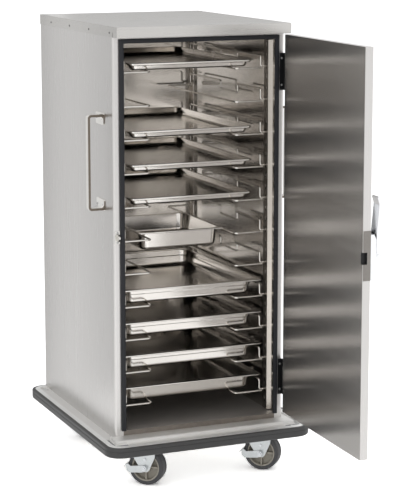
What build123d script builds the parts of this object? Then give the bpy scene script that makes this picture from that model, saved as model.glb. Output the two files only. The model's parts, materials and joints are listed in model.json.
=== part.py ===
from build123d import *
import os
from math import cos, radians, sin

# Heated holding cabinet on casters, millimetres, +Z up, the front towards -Y.
# The origin is on the floor, below the middle of the cabinet body.

# Cabinet body
BODY_WIDTH = 624.0
BODY_DEPTH = 756.0
BODY_HEIGHT = 1398.0
PANEL = 1.2
LINER_SHEET = 1.0
CAP_SHEET = 2.0
CAP_FLANGE = 36.0
CAP_OVERHANG = 50.0

# Compartment, measured in from the body
SIDE_WALL = 31.0
BACK_WALL = 28.0
ROOF = 48.0
FLOOR_RISE = 27.0
GASKET_WIDTH = 15.0
GASKET_PROUD = 10.2
GASKET_LAP = 9.0
GASKET_HEAD_LAP = 6.0

# Base and bumper, measured out from the body
LIP_SIDE = 53.0
LIP_FRONT = 113.0
LIP_BACK = 2.0
LIP_RADIUS = 45.0
LIP_DEPTH = 15.0
LIP_HEIGHT = 37.0
LIP_RISE = 4.0
BASE_SHEET = 3.0
RUBBER_PROUD = 12.0
RUBBER_GAP = 0.3
RUBBER_LOW_ROUND = 7.0
RUBBER_TOP_ROUND = 3.0
GROOVE_DROP = 11.0
GROOVE_WIDTH = 3.0
GROOVE_DEEP = 1.5
SILL_SIDE = 19.0
SILL_REACH = 58.0
SILL_HEIGHT = 10.0
SILL_SHEET = 2.0
BEAM_WIDTH = 104.0
BEAM_HEIGHT = 24.0
BEAM_WALL = 3.0
SPINE_WIDTH = 60.0
HOLE_ALONG_SILL = 40.0
HOLE_WIDTH = 30.0

# Casters
WHEEL_RADIUS = 63.5
WHEEL_WIDTH = 44.0
TYRE_THICK = 14.0
TYRE_ROUND = 6.0
CORE_RIM = 5.0
CORE_WEB = 6.0
HUB_RADIUS = 19.0
SPOKES = 4
SPOKE_THICK = 5.0
FORK_RISE = 23.0
CROWN_CLEAR = 4.0
CASTER_TRAIL = 42.0
CASTER_INSET = 147.0
CASTER_FRONT_INSET = 50.0
CASTER_BACK_INSET = 116.0
CASTER_ANGLE = -42.0
PLATE_THICK = 4.0
PLATE_X = 100.0
PLATE_Y = 92.0
KINGPIN_RADIUS = 7.0
KINGPIN_FLANGE = 4.0
AXLE_RADIUS = 5.0
NUT_RADIUS = 10.0
WASHER_RADIUS = 8.0
WASHER_THICK = 4.0
LEG_SHEET = 3.5
LEG_GAP = 2.5
CROWN_RADIUS = 38.0
RACE_RADIUS = 34.0
BOLT_SPACING_X = 78.0
BOLT_SPACING_Y = 68.0
BOLT_HOLE = 5.0
RUN_CLEAR = 0.05

# Door
DOOR_INSET = 7.0
DOOR_THICK = 28.0
DOOR_LIFT = 29.0
DOOR_HEAD_CLEAR = 3.5
DOOR_SEAL_GAP = 0.3
DOOR_OPEN_ANGLE = 88.3
HINGE_SIDE = 3.0
HINGE_OUT = 28.9
HINGE_RADIUS = 6.0
HINGE_PIN_RADIUS = 3.0
HINGE_HEIGHT = 127.0
HINGE_LEAF = 3.0
HINGE_LOW = 55.5
HINGE_HIGH = 65.5
HINGE_SCREW_IN = 18.0
SHELF_CLEAR = 0.4

# Slide uprights and wire slides, measured from the liner
LEVELS = 11
TOP_LEVEL_DROP = 110.8
BOTTOM_LEVEL_RISE = 69.2
SLOTS_PER_LEVEL = 3
SLOT_WIDTH = 7.6
SLOT_HEIGHT = 20.0
UPRIGHT_PROUD = 9.0
UPRIGHT_WIDTH = 34.0
UPRIGHT_SHEET = 1.5
UPRIGHT_TOP_CLEAR = 15.0
UPRIGHT_FLOOR_CLEAR = 4.0
FRONT_SLOT_IN = 59.0
BACK_SLOT_IN = 42.0
WIRE = 6.35
WIRE_WELD = 0.25
INNER_ROD_IN = 125.0
OUTER_WIRE_IN = 30.0
CROSS_END_IN = 21.0
UPPER_WIRE_RISE = 42.0
NOTCH_RISE = 12.0
NOTCH_START = 254.0
NOTCH_LENGTH = 146.0
HOOK_REACH = 6.0
ROD_BEND = 12.0
HOOK_BEND = 7.0

# Pans, as wide as the slides let them be
PAN_SHEET = 1.2
PAN_REST_GAP = 0.3
SHEET_PAN_CLEAR = 23.5
SHEET_PAN_FREE_LENGTH = 73.0
SHEET_PAN_HEIGHT = 25.0
SHEET_PAN_BACK_GAP = 2.0
SHEET_PAN_RIM = 8.0
SHEET_PAN_DRAFT = 6.0
SHEET_PAN_CORNER = 14.0
DEEP_PAN_CLEAR = 7.0
DEEP_PAN_FREE_LENGTH = 78.0
DEEP_PAN_HEIGHT = 54.0
STEPPED_PAN_BACK_GAP = 12.0
PLAIN_PAN_BACK_GAP = 5.0
DEEP_PAN_RIM = 21.0
DEEP_PAN_CORNER = 42.0
STEPPED_PAN_DRAFT = 6.0
PLAIN_PAN_DRAFT = 10.0
PAN_STEP = 4.0
STEP_HEIGHT_SHARE = 0.6
RIM_CORNER = 10.0
STEAM_PAN_LAP = 6.0
STEAM_PAN_LENGTH = 354.0
STEAM_PAN_HEIGHT = 65.0
STEAM_PAN_START = 165.0
STEAM_PAN_RIM = 13.0
STEAM_PAN_DRAFT = 7.0
STEAM_PAN_CORNER = 34.0
SHEET_PAN_LEVELS = (1, 3, 4, 5)
STEPPED_PAN_LEVELS = (8, 9, 10)
STEAM_PAN_LEVEL = 6

# Side handles
HANDLE_STAND = 58.0
HANDLE_DROP = 298.0
HANDLE_LENGTH = 324.0
HANDLE_BAR = 8.0
HANDLE_WIDTH = 22.0
HANDLE_FRONT_IN = 84.0
HANDLE_ROUND = 12.0
HANDLE_FLANGE = 76.0
HANDLE_FLANGE_HEIGHT = 40.0
FLANGE_SHEET = 3.0
FLANGE_ROUND = 8.0
HANDLE_SCREW_IN = 10.0
HANDLE_SCREW_RISE = 2.0

# Latch
LATCH_RISE = 584.0
LATCH_HEIGHT = 147.0
LATCH_WIDTH = 38.0
LATCH_DEPTH = 31.0
LATCH_PLATE = 1.5
LATCH_PIVOT_OUT = 26.0
LATCH_PIVOT_RISE = 81.0
LATCH_PIN = 3.0
LEVER_CHEEK = 1.5
LEVER_ABOVE = 187.0
LEVER_BELOW = 11.0
LEVER_OUT = 40.0
POCKET_RISE = 53.0
POCKET_HEIGHT = 38.0
POCKET_DEEP = 16.0
POCKET_WIDTH = 12.0
MAGNET_DEEP = 9.0
STRIKE_TONGUE = 22.0
STRIKE_WIDTH = 18.0
STRIKE_MARGIN = 3.0

# Controls and heat, set low in the back wall
BOX_HALF = 105.0
BOX_RISE = 22.0
BOX_HEIGHT = 110.0
BOX_SHEET = 1.0
PLATE_BORDER = 15.0
PLATE_SHEET = 1.5
KNOB_X = 60.0
KNOB_RADIUS = 16.0
KNOB_DEEP = 12.0
THERMOSTAT_HALF = 18.0
THERMOSTAT_DEEP = 20.0
STEM_RADIUS = 3.0
LAMP_X = 12.0
LAMP_RADIUS = 4.0
SWITCH_X = -24.0
SWITCH_HALF_WIDTH = 9.0
SWITCH_HALF_HEIGHT = 13.0
SWITCH_TILT = 8.0
INLET_X = -72.0
INLET_HALF_WIDTH = 13.0
INLET_HALF_HEIGHT = 10.0
BODY_DEEP = 20.0
CABLE = 5.0
CABLE_GAP = 0.3
CABLE_RUNS = 7
CABLE_FRONT_IN = 90.0
CABLE_BACK_IN = 62.0
CABLE_RISE = 64.0
CABLE_DROP = 67.0
LEAD_RISE = 40.0
LEAD_IN = 10.0
PROBE_X = 60.0
PROBE_DROP = 37.0
PROBE_LENGTH = 60.0
PROBE_RADIUS = 3.0

# Places worked out from the sizes above
side = BODY_WIDTH / 2
front = -BODY_DEPTH / 2
back = BODY_DEPTH / 2
plate_top_z = 2 * WHEEL_RADIUS + FORK_RISE
deck_z = plate_top_z + BEAM_HEIGHT + BASE_SHEET
top_z = deck_z + BODY_HEIGHT
shell_top = top_z - CAP_SHEET
panel_in = side - PANEL
front_in = front + PANEL
back_in = back - PANEL
liner = side - SIDE_WALL
liner_out = liner + LINER_SHEET
liner_back = back - BACK_WALL
liner_top = top_z - ROOF
floor_z = deck_z + FLOOR_RISE
gasket_edge = liner + GASKET_LAP
gasket_top = liner_top + GASKET_HEAD_LAP
lip_half = side + LIP_SIDE
lip_front = front - LIP_FRONT
lip_back = back + LIP_BACK
lip_top = deck_z + LIP_RISE
lip_bottom = lip_top - LIP_HEIGHT
sill_half = side + SILL_SIDE
sill_front = front - SILL_REACH
caster_x = lip_half - CASTER_INSET
caster_front_y = front + CASTER_FRONT_INSET
caster_back_y = back - CASTER_BACK_INSET
door_edge = side - DOOR_INSET
door_in = front - GASKET_PROUD - DOOR_SEAL_GAP
door_out = door_in - DOOR_THICK
door_bottom = deck_z + SILL_HEIGHT + DOOR_LIFT
door_top = top_z - CAP_FLANGE - DOOR_HEAD_CLEAR
hinge_x = side + HINGE_SIDE
hinge_y = front - HINGE_OUT
hinge_bottoms = (door_bottom + HINGE_LOW, door_top - HINGE_HIGH - HINGE_HEIGHT)
latch_bottom = door_bottom + LATCH_RISE
latch_top = latch_bottom + LATCH_HEIGHT
pivot_z = latch_bottom + LATCH_PIVOT_RISE
pocket_bottom = latch_bottom + POCKET_RISE
pocket_top = pocket_bottom + POCKET_HEIGHT
top_level_z = liner_top - TOP_LEVEL_DROP
level_pitch = (top_level_z - floor_z - BOTTOM_LEVEL_RISE) / (LEVELS - 1)
slot_pitch = level_pitch / SLOTS_PER_LEVEL
upright_x = liner - UPRIGHT_PROUD
upright_bottom = floor_z + UPRIGHT_FLOOR_CLEAR
upright_top = liner_top - UPRIGHT_TOP_CLEAR
front_slot_y = front + FRONT_SLOT_IN
back_slot_y = liner_back - BACK_SLOT_IN
inner_rod_x = liner - INNER_ROD_IN
outer_wire_x = liner - OUTER_WIRE_IN
hook_rise = WIRE - WIRE_WELD
handle_front = front + HANDLE_FRONT_IN
handle_top = top_z - HANDLE_DROP
handle_bottom = handle_top - HANDLE_LENGTH
box_bottom = floor_z + BOX_RISE
box_top = box_bottom + BOX_HEIGHT
controls_z = (box_bottom + box_top) / 2
plate_half = BOX_HALF + PLATE_BORDER
plate_bottom = box_bottom - PLATE_BORDER
plate_top = box_top + PLATE_BORDER
plate_face = back + PLATE_SHEET
cable_x = liner_out + CABLE_GAP + CABLE / 2
wool_x = liner_out + 2 * CABLE_GAP + CABLE
lead_y = back - LEAD_IN
lead_z = floor_z + LEAD_RISE
probe_z = liner_top - PROBE_DROP


def block(x0, x1, y0, y1, z0, z1):
    """A box between two corners."""
    return Pos((x0 + x1) / 2, (y0 + y1) / 2, (z0 + z1) / 2) * Box(x1 - x0, y1 - y0, z1 - z0)


def rod(start, end, radius):
    """A round bar from one point to another."""
    span = Vector(*end) - Vector(*start)
    return Solid.make_cylinder(radius, span.length, Plane(origin=start, z_dir=span))


def flat(points, plane, thickness):
    """A plate of the given outline, as thick as asked for along the plane's normal."""
    return extrude(plane * make_face(Polyline(*points, close=True)), thickness)


def bent_wire(points, radii, diameter):
    """A round wire along straight runs joined by arcs."""
    path = FilletPolyline(*points, radius=radii)
    return sweep(Plane(origin=path @ 0, z_dir=path % 0) * Circle(diameter / 2), path=path)


def both_sides(shape):
    """The shape and its mirror image across the middle of the cabinet."""
    return [shape, mirror(shape, about=Plane.YZ)]


def save(name, *shapes):
    """Write one sub-part with all its solids."""
    solids = [solid for shape in shapes for solid in shape.solids()]
    export_step(Compound(solids), f"parts/{name}.step")


def level_z(level):
    """Height of the middle of a slide's inner rod."""
    return top_level_z - (level - 1) * level_pitch


def screw(head_at, direction, radius, length):
    """A pan head screw whose head's underside is at head_at; the shank runs along direction."""
    at = Vector(*head_at)
    along = Vector(*direction).normalized()
    head = rod(at - along * radius * 0.6, at, radius)
    return head + rod(at - along * 0.1, at + along * length, radius / 2)


def lip_outline(inset):
    """The rounded rectangle of the bumper lip, drawn in by inset."""
    depth = lip_back - lip_front
    outline = RectangleRounded(2 * (lip_half - inset), depth - 2 * inset, LIP_RADIUS - inset)
    return Pos(0, (lip_back + lip_front) / 2) * outline


def lip_ring(outer, inner, bottom, top):
    """A ring that follows the lip, between two insets and two heights."""
    return Pos(0, 0, bottom) * extrude(lip_outline(outer) - lip_outline(inner), top - bottom)


# The body stops short of the channel along the back edge of the base.
back_notch = block(-BODY_WIDTH, BODY_WIDTH, lip_back - LIP_DEPTH - BASE_SHEET, back + BODY_DEPTH, 0, lip_top)

handle_holes = [
    (y, z)
    for y in (handle_front + HANDLE_SCREW_IN, handle_front + HANDLE_FLANGE - HANDLE_SCREW_IN)
    for z in (handle_bottom + HANDLE_SCREW_RISE, handle_top - HANDLE_SCREW_RISE)
]
plate_screws = [
    (x, z)
    for x in (-plate_half + PLATE_BORDER / 2, plate_half - PLATE_BORDER / 2)
    for z in (plate_bottom + PLATE_BORDER / 2, plate_top - PLATE_BORDER / 2)
]


def outer_shell():
    """Cap, side panels, back panel and front frame."""
    cap_edge = side + CAP_SHEET
    cap_front = front - CAP_OVERHANG
    cap_bottom = top_z - CAP_FLANGE
    cap = block(-cap_edge, cap_edge, cap_front, back + CAP_SHEET, cap_bottom, top_z)
    cap -= block(-side, side, cap_front + CAP_SHEET, back, cap_bottom + CAP_SHEET, shell_top)
    cap -= block(-side, side, front, back, 0, shell_top)
    save("top_cap", cap)

    panel = block(panel_in, side, front, back, deck_z, shell_top) - back_notch
    for y, z in handle_holes:
        panel -= rod((panel_in - 1, y, z), (side + 1, y, z), 2.5)
    save("side_panels", *both_sides(panel))

    rear = block(-panel_in, panel_in, back_in, back, deck_z, shell_top) - back_notch
    rear -= block(-BOX_HALF, BOX_HALF, back_in - 1, back + 1, box_bottom, box_top)
    for x, z in plate_screws:
        rear -= rod((x, back_in - 1, z), (x, back + 1, z), 2)
    save("back_panel", rear)

    frame = block(-panel_in, panel_in, front, front_in, deck_z, shell_top)
    frame -= block(-liner, liner, front - 1, front_in + 1, 0, liner_top)
    save("front_frame", frame)


def inner_shell():
    """Liner, floor and insulation."""
    floor_under = floor_z - LINER_SHEET
    ceiling_top = liner_top + LINER_SHEET
    wall = block(liner, liner_out, front_in, liner_back, floor_under, ceiling_top)
    rear = block(-liner_out, liner_out, liner_back, liner_back + LINER_SHEET, floor_under, ceiling_top)
    rear -= rod((PROBE_X, liner_back - 1, probe_z), (PROBE_X, back, probe_z), PROBE_RADIUS + 1)
    ceiling = block(-liner, liner, front_in, liner_back, liner_top, ceiling_top)
    save("liner_walls", *both_sides(wall), rear, ceiling)

    floor = block(-liner, liner, front, liner_back, floor_under, floor_z)
    floor += block(-liner, liner, front, front_in, deck_z, floor_z)
    save("floor_panel", floor)

    side_wool = block(wool_x, panel_in, front_in, back_in, floor_under, ceiling_top)
    back_wool = block(-liner_out, liner_out, liner_back + LINER_SHEET, back_in, floor_under, ceiling_top)
    back_wool -= block(-BOX_HALF, BOX_HALF, liner_back, back, box_bottom, box_top)
    lead = CABLE / 2 + 1
    back_wool -= block(-side, side, lead_y - lead, lead_y + lead, lead_z - lead, lead_z + lead)
    back_wool -= block(PROBE_X - PROBE_RADIUS, PROBE_X + PROBE_RADIUS, liner_back, lead_y + PROBE_RADIUS,
                       box_top, probe_z + 2 * PROBE_RADIUS)
    top_wool = block(-panel_in, panel_in, front_in, back_in, ceiling_top, shell_top)
    floor_wool = block(-panel_in, panel_in, front_in, back_in, deck_z, floor_under) - back_notch
    save("insulation", *both_sides(side_wool), back_wool, top_wool, floor_wool)


def corner_openings():
    """The see-through openings in the deck at its four corners."""
    edge = lip_half - LIP_DEPTH - BASE_SHEET
    inner_y = sill_front - 4
    outer_y = inner_y - HOLE_WIDTH
    corner = [
        (sill_half - HOLE_ALONG_SILL, inner_y),
        (sill_half + 3, inner_y),
        (sill_half + 3, front + 6),
        (edge - 1, front + 6),
        (edge - 1, outer_y + HOLE_WIDTH / 2),
        (edge - HOLE_WIDTH / 2, outer_y),
        (sill_half - HOLE_ALONG_SILL, outer_y),
    ]
    front_hole = flat(corner, Plane.XY.offset(deck_z - BASE_SHEET - 1), BASE_SHEET + 2)
    rear_hole = block(side + 4, edge - 9, back - 56, back - 24, deck_z - BASE_SHEET - 1, deck_z + 1)
    return both_sides(front_hole) + both_sides(rear_hole)


def rubber_bumper():
    """The rubber strip: a rounded bulge outside the lip and a tongue that the channel holds."""
    rubber_top = lip_top - 1
    rubber_bottom = lip_bottom + 1

    def outside_edges(shape, z):
        """The outermost edges of the bulge at one height."""
        reach = RUBBER_PROUD - 0.1
        found = []
        for edge in shape.edges():
            box = edge.bounding_box()
            level = box.size.Z < 0.1 and abs(edge.center().Z - z) < 0.1
            out = max(box.max.X, -box.min.X) > lip_half + reach
            if level and (out or box.min.Y < lip_front - reach or box.max.Y > lip_back + reach):
                found.append(edge)
        return found

    bulge = lip_ring(-RUBBER_PROUD, -RUBBER_GAP, rubber_bottom, rubber_top)
    bulge = fillet(outside_edges(bulge, rubber_bottom), RUBBER_LOW_ROUND)
    bulge = fillet(outside_edges(bulge, rubber_top), RUBBER_TOP_ROUND)
    groove_top = rubber_top - GROOVE_DROP
    groove = lip_ring(-RUBBER_PROUD - 1, -RUBBER_PROUD + GROOVE_DEEP, groove_top - GROOVE_WIDTH, groove_top)
    tongue = lip_ring(-RUBBER_GAP, LIP_DEPTH - RUBBER_GAP, lip_bottom + BASE_SHEET + RUBBER_GAP,
                      lip_top - BASE_SHEET - RUBBER_GAP)
    return bulge - groove + tongue


def base():
    """Deck, beams, bumper channel, rubber bumper and the sill plate at the door."""
    under_deck = deck_z - BASE_SHEET
    deck = Pos(0, 0, under_deck) * extrude(lip_outline(LIP_DEPTH + BASE_SHEET), BASE_SHEET)
    for hole in corner_openings():
        deck -= hole
    save("base_deck", deck)

    channel = lip_ring(LIP_DEPTH, LIP_DEPTH + BASE_SHEET, lip_bottom, lip_top)
    channel += lip_ring(0, LIP_DEPTH, lip_top - BASE_SHEET, lip_top)
    channel += lip_ring(0, LIP_DEPTH, lip_bottom, lip_bottom + BASE_SHEET)
    save("bumper_channel", channel)
    save("bumper_strip", rubber_bumper())

    beams = []
    beam_half = BEAM_WIDTH / 2
    reach = lip_half - LIP_DEPTH - BASE_SHEET - 1
    hollow_bottom = plate_top_z + BEAM_WALL
    hollow_top = under_deck - BEAM_WALL
    for y in (caster_front_y, caster_back_y):
        beam = block(-reach, reach, y - beam_half, y + beam_half, plate_top_z, under_deck)
        beam -= block(-lip_half, lip_half, y - beam_half + BEAM_WALL, y + beam_half - BEAM_WALL,
                      hollow_bottom, hollow_top)
        for bolt_x, bolt_y in caster_bolts():
            if abs(bolt_y - y) < beam_half:
                beam -= rod((bolt_x, bolt_y, plate_top_z - 1), (bolt_x, bolt_y, hollow_bottom + 1), BOLT_HOLE)
        for hole in corner_openings():
            beam -= Pos(0, 0, plate_top_z - deck_z) * hole
        beams.append(beam)
    spine_front = caster_front_y + beam_half
    spine_back = caster_back_y - beam_half
    spine_half = SPINE_WIDTH / 2
    spine = block(-spine_half, spine_half, spine_front, spine_back, plate_top_z, under_deck)
    spine -= block(-spine_half + BEAM_WALL, spine_half - BEAM_WALL, spine_front, spine_back, hollow_bottom,
                   hollow_top)
    save("base_frame", *beams, spine)

    sill_top = deck_z + SILL_HEIGHT
    sill = block(-sill_half, sill_half, sill_front, front, deck_z, sill_top)
    sill -= block(-sill_half + SILL_SHEET, sill_half - SILL_SHEET, sill_front + SILL_SHEET,
                  front - SILL_SHEET, deck_z, sill_top - SILL_SHEET)
    groove_y = sill_front + 5
    sill -= block(-sill_half, sill_half, groove_y, groove_y + SILL_SHEET, sill_top - 0.8, sill_top)
    save("sill_plate", sill)


def gasket():
    """The seal on the two jambs and the header."""
    inner = gasket_edge - GASKET_WIDTH
    seal = block(-gasket_edge, gasket_edge, front - GASKET_PROUD, front, floor_z, gasket_top)
    seal -= block(-inner, inner, front - GASKET_PROUD - 1, front + 1, 0, gasket_top - GASKET_WIDTH)
    save("door_gasket", seal)


def uprights():
    """Four slotted channels that carry the wire slides."""
    channels = []
    slot_top = top_level_z + hook_rise + 2 * slot_pitch
    slot_count = int((slot_top - upright_bottom) / slot_pitch) + 1
    for slot_y in (front_slot_y, back_slot_y):
        y0 = slot_y - UPRIGHT_WIDTH / 2
        y1 = slot_y + UPRIGHT_WIDTH / 2
        channel = block(upright_x, liner, y0, y1, upright_bottom, upright_top)
        channel -= block(upright_x + UPRIGHT_SHEET, liner, y0 + UPRIGHT_SHEET, y1 - UPRIGHT_SHEET,
                         0, top_z)
        slot = Pos(0, slot_y, 0) * Rot(0, 90, 0) * extrude(
            SlotOverall(SLOT_HEIGHT, SLOT_WIDTH), liner - 1
        )
        slots = [Pos(0, 0, slot_top - index * slot_pitch) * slot for index in range(slot_count)]
        face = block(upright_x - 1, liner - 1, y0, y1, upright_bottom, upright_top)
        channel -= [cut & face for cut in slots]
        channels += both_sides(channel)
    save("slide_uprights", *channels)


def wire_slide():
    """One right hand slide at height zero: a U of wire below, a notched wire with hooks above."""
    lower = bent_wire(
        [
            (liner - CROSS_END_IN, front_slot_y, 0),
            (inner_rod_x, front_slot_y, 0),
            (inner_rod_x, back_slot_y, 0),
            (liner - CROSS_END_IN, back_slot_y, 0),
        ],
        ROD_BEND, WIRE,
    )
    hook_x = upright_x + HOOK_REACH
    notch_front = front + NOTCH_START
    notch_back = notch_front + NOTCH_LENGTH
    upper = bent_wire(
        [
            (hook_x, front_slot_y, hook_rise),
            (outer_wire_x, front_slot_y, hook_rise),
            (outer_wire_x, front_slot_y, UPPER_WIRE_RISE),
            (outer_wire_x, notch_front, UPPER_WIRE_RISE),
            (outer_wire_x, notch_front, NOTCH_RISE),
            (outer_wire_x, notch_back, NOTCH_RISE),
            (outer_wire_x, notch_back, UPPER_WIRE_RISE),
            (outer_wire_x, back_slot_y, UPPER_WIRE_RISE),
            (outer_wire_x, back_slot_y, hook_rise),
            (hook_x, back_slot_y, hook_rise),
        ],
        HOOK_BEND, WIRE,
    )
    return lower + upper


def wire_slides():
    """A slide on each side at every level; the lowest pair is a sub-part of its own."""
    slide = wire_slide()
    right = [Pos(0, 0, level_z(level)) * slide for level in range(1, LEVELS + 1)]
    left = [mirror(shape, about=Plane.YZ) for shape in right]
    save("wire_slides_right", *right[:-1])
    save("wire_slides_left", *left[:-1])
    save("bottom_slide_right", right[-1])
    save("bottom_slide_left", left[-1])


def tub(width, length, height, rim, draft, corner, rim_corner, step=0.0):
    """An open pan with drafted walls and a flat rim; a step divides its walls where asked for."""
    ledge = height * STEP_HEIGHT_SHARE

    def layer(z, inset):
        """The wall's outline at one height."""
        edge = rim + inset
        return Pos(0, 0, z) * RectangleRounded(width - 2 * edge, length - 2 * edge, corner - inset)

    def taper(bottom, top, inset):
        """Walls between two heights, drawn in by inset and leaning with the draft."""
        low = layer(bottom, inset + draft * (1 - bottom / height))
        high = layer(top, inset + draft * (1 - top / height))
        return loft([low, high], ruled=True)

    lip = Pos(0, 0, height - PAN_SHEET) * extrude(RectangleRounded(width, length, rim_corner), PAN_SHEET)
    if not step:
        return taper(0, height, 0) + lip - taper(PAN_SHEET, height + 1, PAN_SHEET)
    shell = taper(0, ledge, step) + taper(ledge, height, 0) + lip
    hollow = taper(PAN_SHEET, ledge + PAN_SHEET + 1, PAN_SHEET + step)
    return shell - hollow - taper(ledge + PAN_SHEET, height + 1, PAN_SHEET)


def pans():
    """Nine pans on the slides."""
    depth = liner_back - front
    rest = WIRE / 2 + PAN_REST_GAP
    sheet_length = depth - SHEET_PAN_FREE_LENGTH
    sheet = tub(2 * (outer_wire_x - SHEET_PAN_CLEAR), sheet_length, SHEET_PAN_HEIGHT, SHEET_PAN_RIM,
                SHEET_PAN_DRAFT, SHEET_PAN_CORNER, SHEET_PAN_CORNER + SHEET_PAN_RIM / 2)
    sheet_y = liner_back - SHEET_PAN_BACK_GAP - sheet_length / 2
    for number, level in enumerate(SHEET_PAN_LEVELS, 1):
        save(f"sheet_pan_{number}", Pos(0, sheet_y, level_z(level) + rest) * sheet)

    deep_width = 2 * (upright_x - DEEP_PAN_CLEAR)
    deep_length = depth - DEEP_PAN_FREE_LENGTH
    stepped = tub(deep_width, deep_length, DEEP_PAN_HEIGHT, DEEP_PAN_RIM, STEPPED_PAN_DRAFT, DEEP_PAN_CORNER,
                  RIM_CORNER, PAN_STEP)
    stepped_y = liner_back - STEPPED_PAN_BACK_GAP - deep_length / 2
    for number, level in enumerate(STEPPED_PAN_LEVELS, 1):
        save(f"deep_pan_{number}", Pos(0, stepped_y, level_z(level) + rest) * stepped)
    plain = tub(deep_width, deep_length, DEEP_PAN_HEIGHT, DEEP_PAN_RIM, PLAIN_PAN_DRAFT, DEEP_PAN_CORNER,
                RIM_CORNER)
    plain_y = liner_back - PLAIN_PAN_BACK_GAP - deep_length / 2
    save("deep_pan_4", Pos(0, plain_y, level_z(LEVELS) + rest) * plain)

    steam = tub(2 * (inner_rod_x + STEAM_PAN_LAP), STEAM_PAN_LENGTH, STEAM_PAN_HEIGHT, STEAM_PAN_RIM,
                STEAM_PAN_DRAFT, STEAM_PAN_CORNER, RIM_CORNER)
    steam_y = front + STEAM_PAN_START + STEAM_PAN_LENGTH / 2
    hung = level_z(STEAM_PAN_LEVEL) + rest + PAN_SHEET - STEAM_PAN_HEIGHT
    save("steam_pan", Pos(0, steam_y, hung) * steam)


def caster_bolts():
    """Places of the sixteen plate bolts."""
    return [
        (x + dx * BOLT_SPACING_X / 2, y + dy * BOLT_SPACING_Y / 2)
        for x in (-caster_x, caster_x)
        for y in (caster_front_y, caster_back_y)
        for dx in (-1, 1)
        for dy in (-1, 1)
    ]


crown_bottom = 2 * WHEEL_RADIUS + CROWN_CLEAR
crown_top = crown_bottom + LEG_SHEET
leg_in = WHEEL_WIDTH / 2 + LEG_GAP
leg_out = leg_in + LEG_SHEET
nut_in = leg_out + WASHER_THICK
nut_out = nut_in + 2 * WASHER_THICK
axle_half = nut_out + WASHER_THICK / 2


def cross_rod(radius, half_length, z=WHEEL_RADIUS):
    """A bar across the caster through the wheel's centre line."""
    return rod((CASTER_TRAIL, -half_length, z), (CASTER_TRAIL, half_length, z), radius)


def caster_plates():
    """Fixed plates with their kingpins."""
    plates = []
    plate_bottom = plate_top_z - PLATE_THICK
    pin_bottom = crown_bottom - CROWN_CLEAR + 1
    flange_top = crown_bottom - RUBBER_GAP
    for x in (-caster_x, caster_x):
        for y in (caster_front_y, caster_back_y):
            plate = block(x - PLATE_X / 2, x + PLATE_X / 2, y - PLATE_Y / 2, y + PLATE_Y / 2,
                          plate_bottom, plate_top_z)
            plate += rod((x, y, pin_bottom), (x, y, plate_top_z), KINGPIN_RADIUS)
            plate += rod((x, y, pin_bottom), (x, y, flange_top), KINGPIN_RADIUS + KINGPIN_FLANGE)
            for bolt_x, bolt_y in caster_bolts():
                if abs(bolt_x - x) < PLATE_X / 2 and abs(bolt_y - y) < PLATE_Y / 2:
                    hole_end = (bolt_x, bolt_y, plate_top_z + 1)
                    plate -= rod((bolt_x, bolt_y, plate_bottom - 1), hole_end, BOLT_HOLE)
            plates.append(plate)
    save("caster_plates", *plates)


def caster_fork():
    """The swivel race, crown and legs, trailing along +X from the kingpin at the origin."""
    race_height = plate_top_z - PLATE_THICK - RUBBER_GAP - crown_top
    low = (Align.CENTER, Align.CENTER, Align.MIN)
    fork = Pos(0, 0, crown_top) * Cylinder(RACE_RADIUS, race_height, align=low)
    fork += Pos(0, 0, crown_bottom) * Cylinder(CROWN_RADIUS, LEG_SHEET, align=low)
    leg_back = -CROWN_RADIUS / 2
    leg_front = CASTER_TRAIL + CROWN_RADIUS
    fork += block(leg_back, leg_front - 14, -leg_out, leg_out, crown_bottom, crown_top)
    foot = WHEEL_RADIUS - 15
    leg = [
        (leg_back, crown_top), (leg_front - 12, crown_top), (leg_front - 1, crown_top - 14),
        (leg_front - 2, 102), (CASTER_TRAIL + 16, foot + 8), (CASTER_TRAIL + 8, foot),
        (CASTER_TRAIL - 8, foot), (CASTER_TRAIL - 16, foot + 8), (-2, 100), (leg_back, crown_top - 14),
    ]
    fork += flat(leg, Plane.XZ.offset(-leg_out), LEG_SHEET)
    fork += flat(leg, Plane.XZ.offset(leg_in), LEG_SHEET)
    fork -= rod((0, 0, crown_bottom - 1), (0, 0, plate_top_z), KINGPIN_RADIUS + RUN_CLEAR)
    return fork - cross_rod(AXLE_RADIUS, leg_out + 1)


def axle_parts():
    """Axle, leg rivet, nuts and washers of one caster."""
    rivet = rod((CASTER_TRAIL, -leg_out - 4, 92), (CASTER_TRAIL, -leg_out, 92), AXLE_RADIUS)
    hexagon = [
        (CASTER_TRAIL + NUT_RADIUS * cos(radians(turn)), WHEEL_RADIUS + NUT_RADIUS * sin(radians(turn)))
        for turn in range(0, 360, 60)
    ]
    nut = flat(hexagon, Plane.XZ.offset(nut_in), nut_out - nut_in) - cross_rod(AXLE_RADIUS, axle_half)
    washer = rod((CASTER_TRAIL, -nut_in, WHEEL_RADIUS), (CASTER_TRAIL, -leg_out, WHEEL_RADIUS), WASHER_RADIUS)
    washer -= cross_rod(AXLE_RADIUS, axle_half)
    nuts = [nut, mirror(nut, about=Plane.XZ)]
    washers = [washer, mirror(washer, about=Plane.XZ)]
    return [cross_rod(AXLE_RADIUS, axle_half), rivet] + nuts, washers


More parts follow.
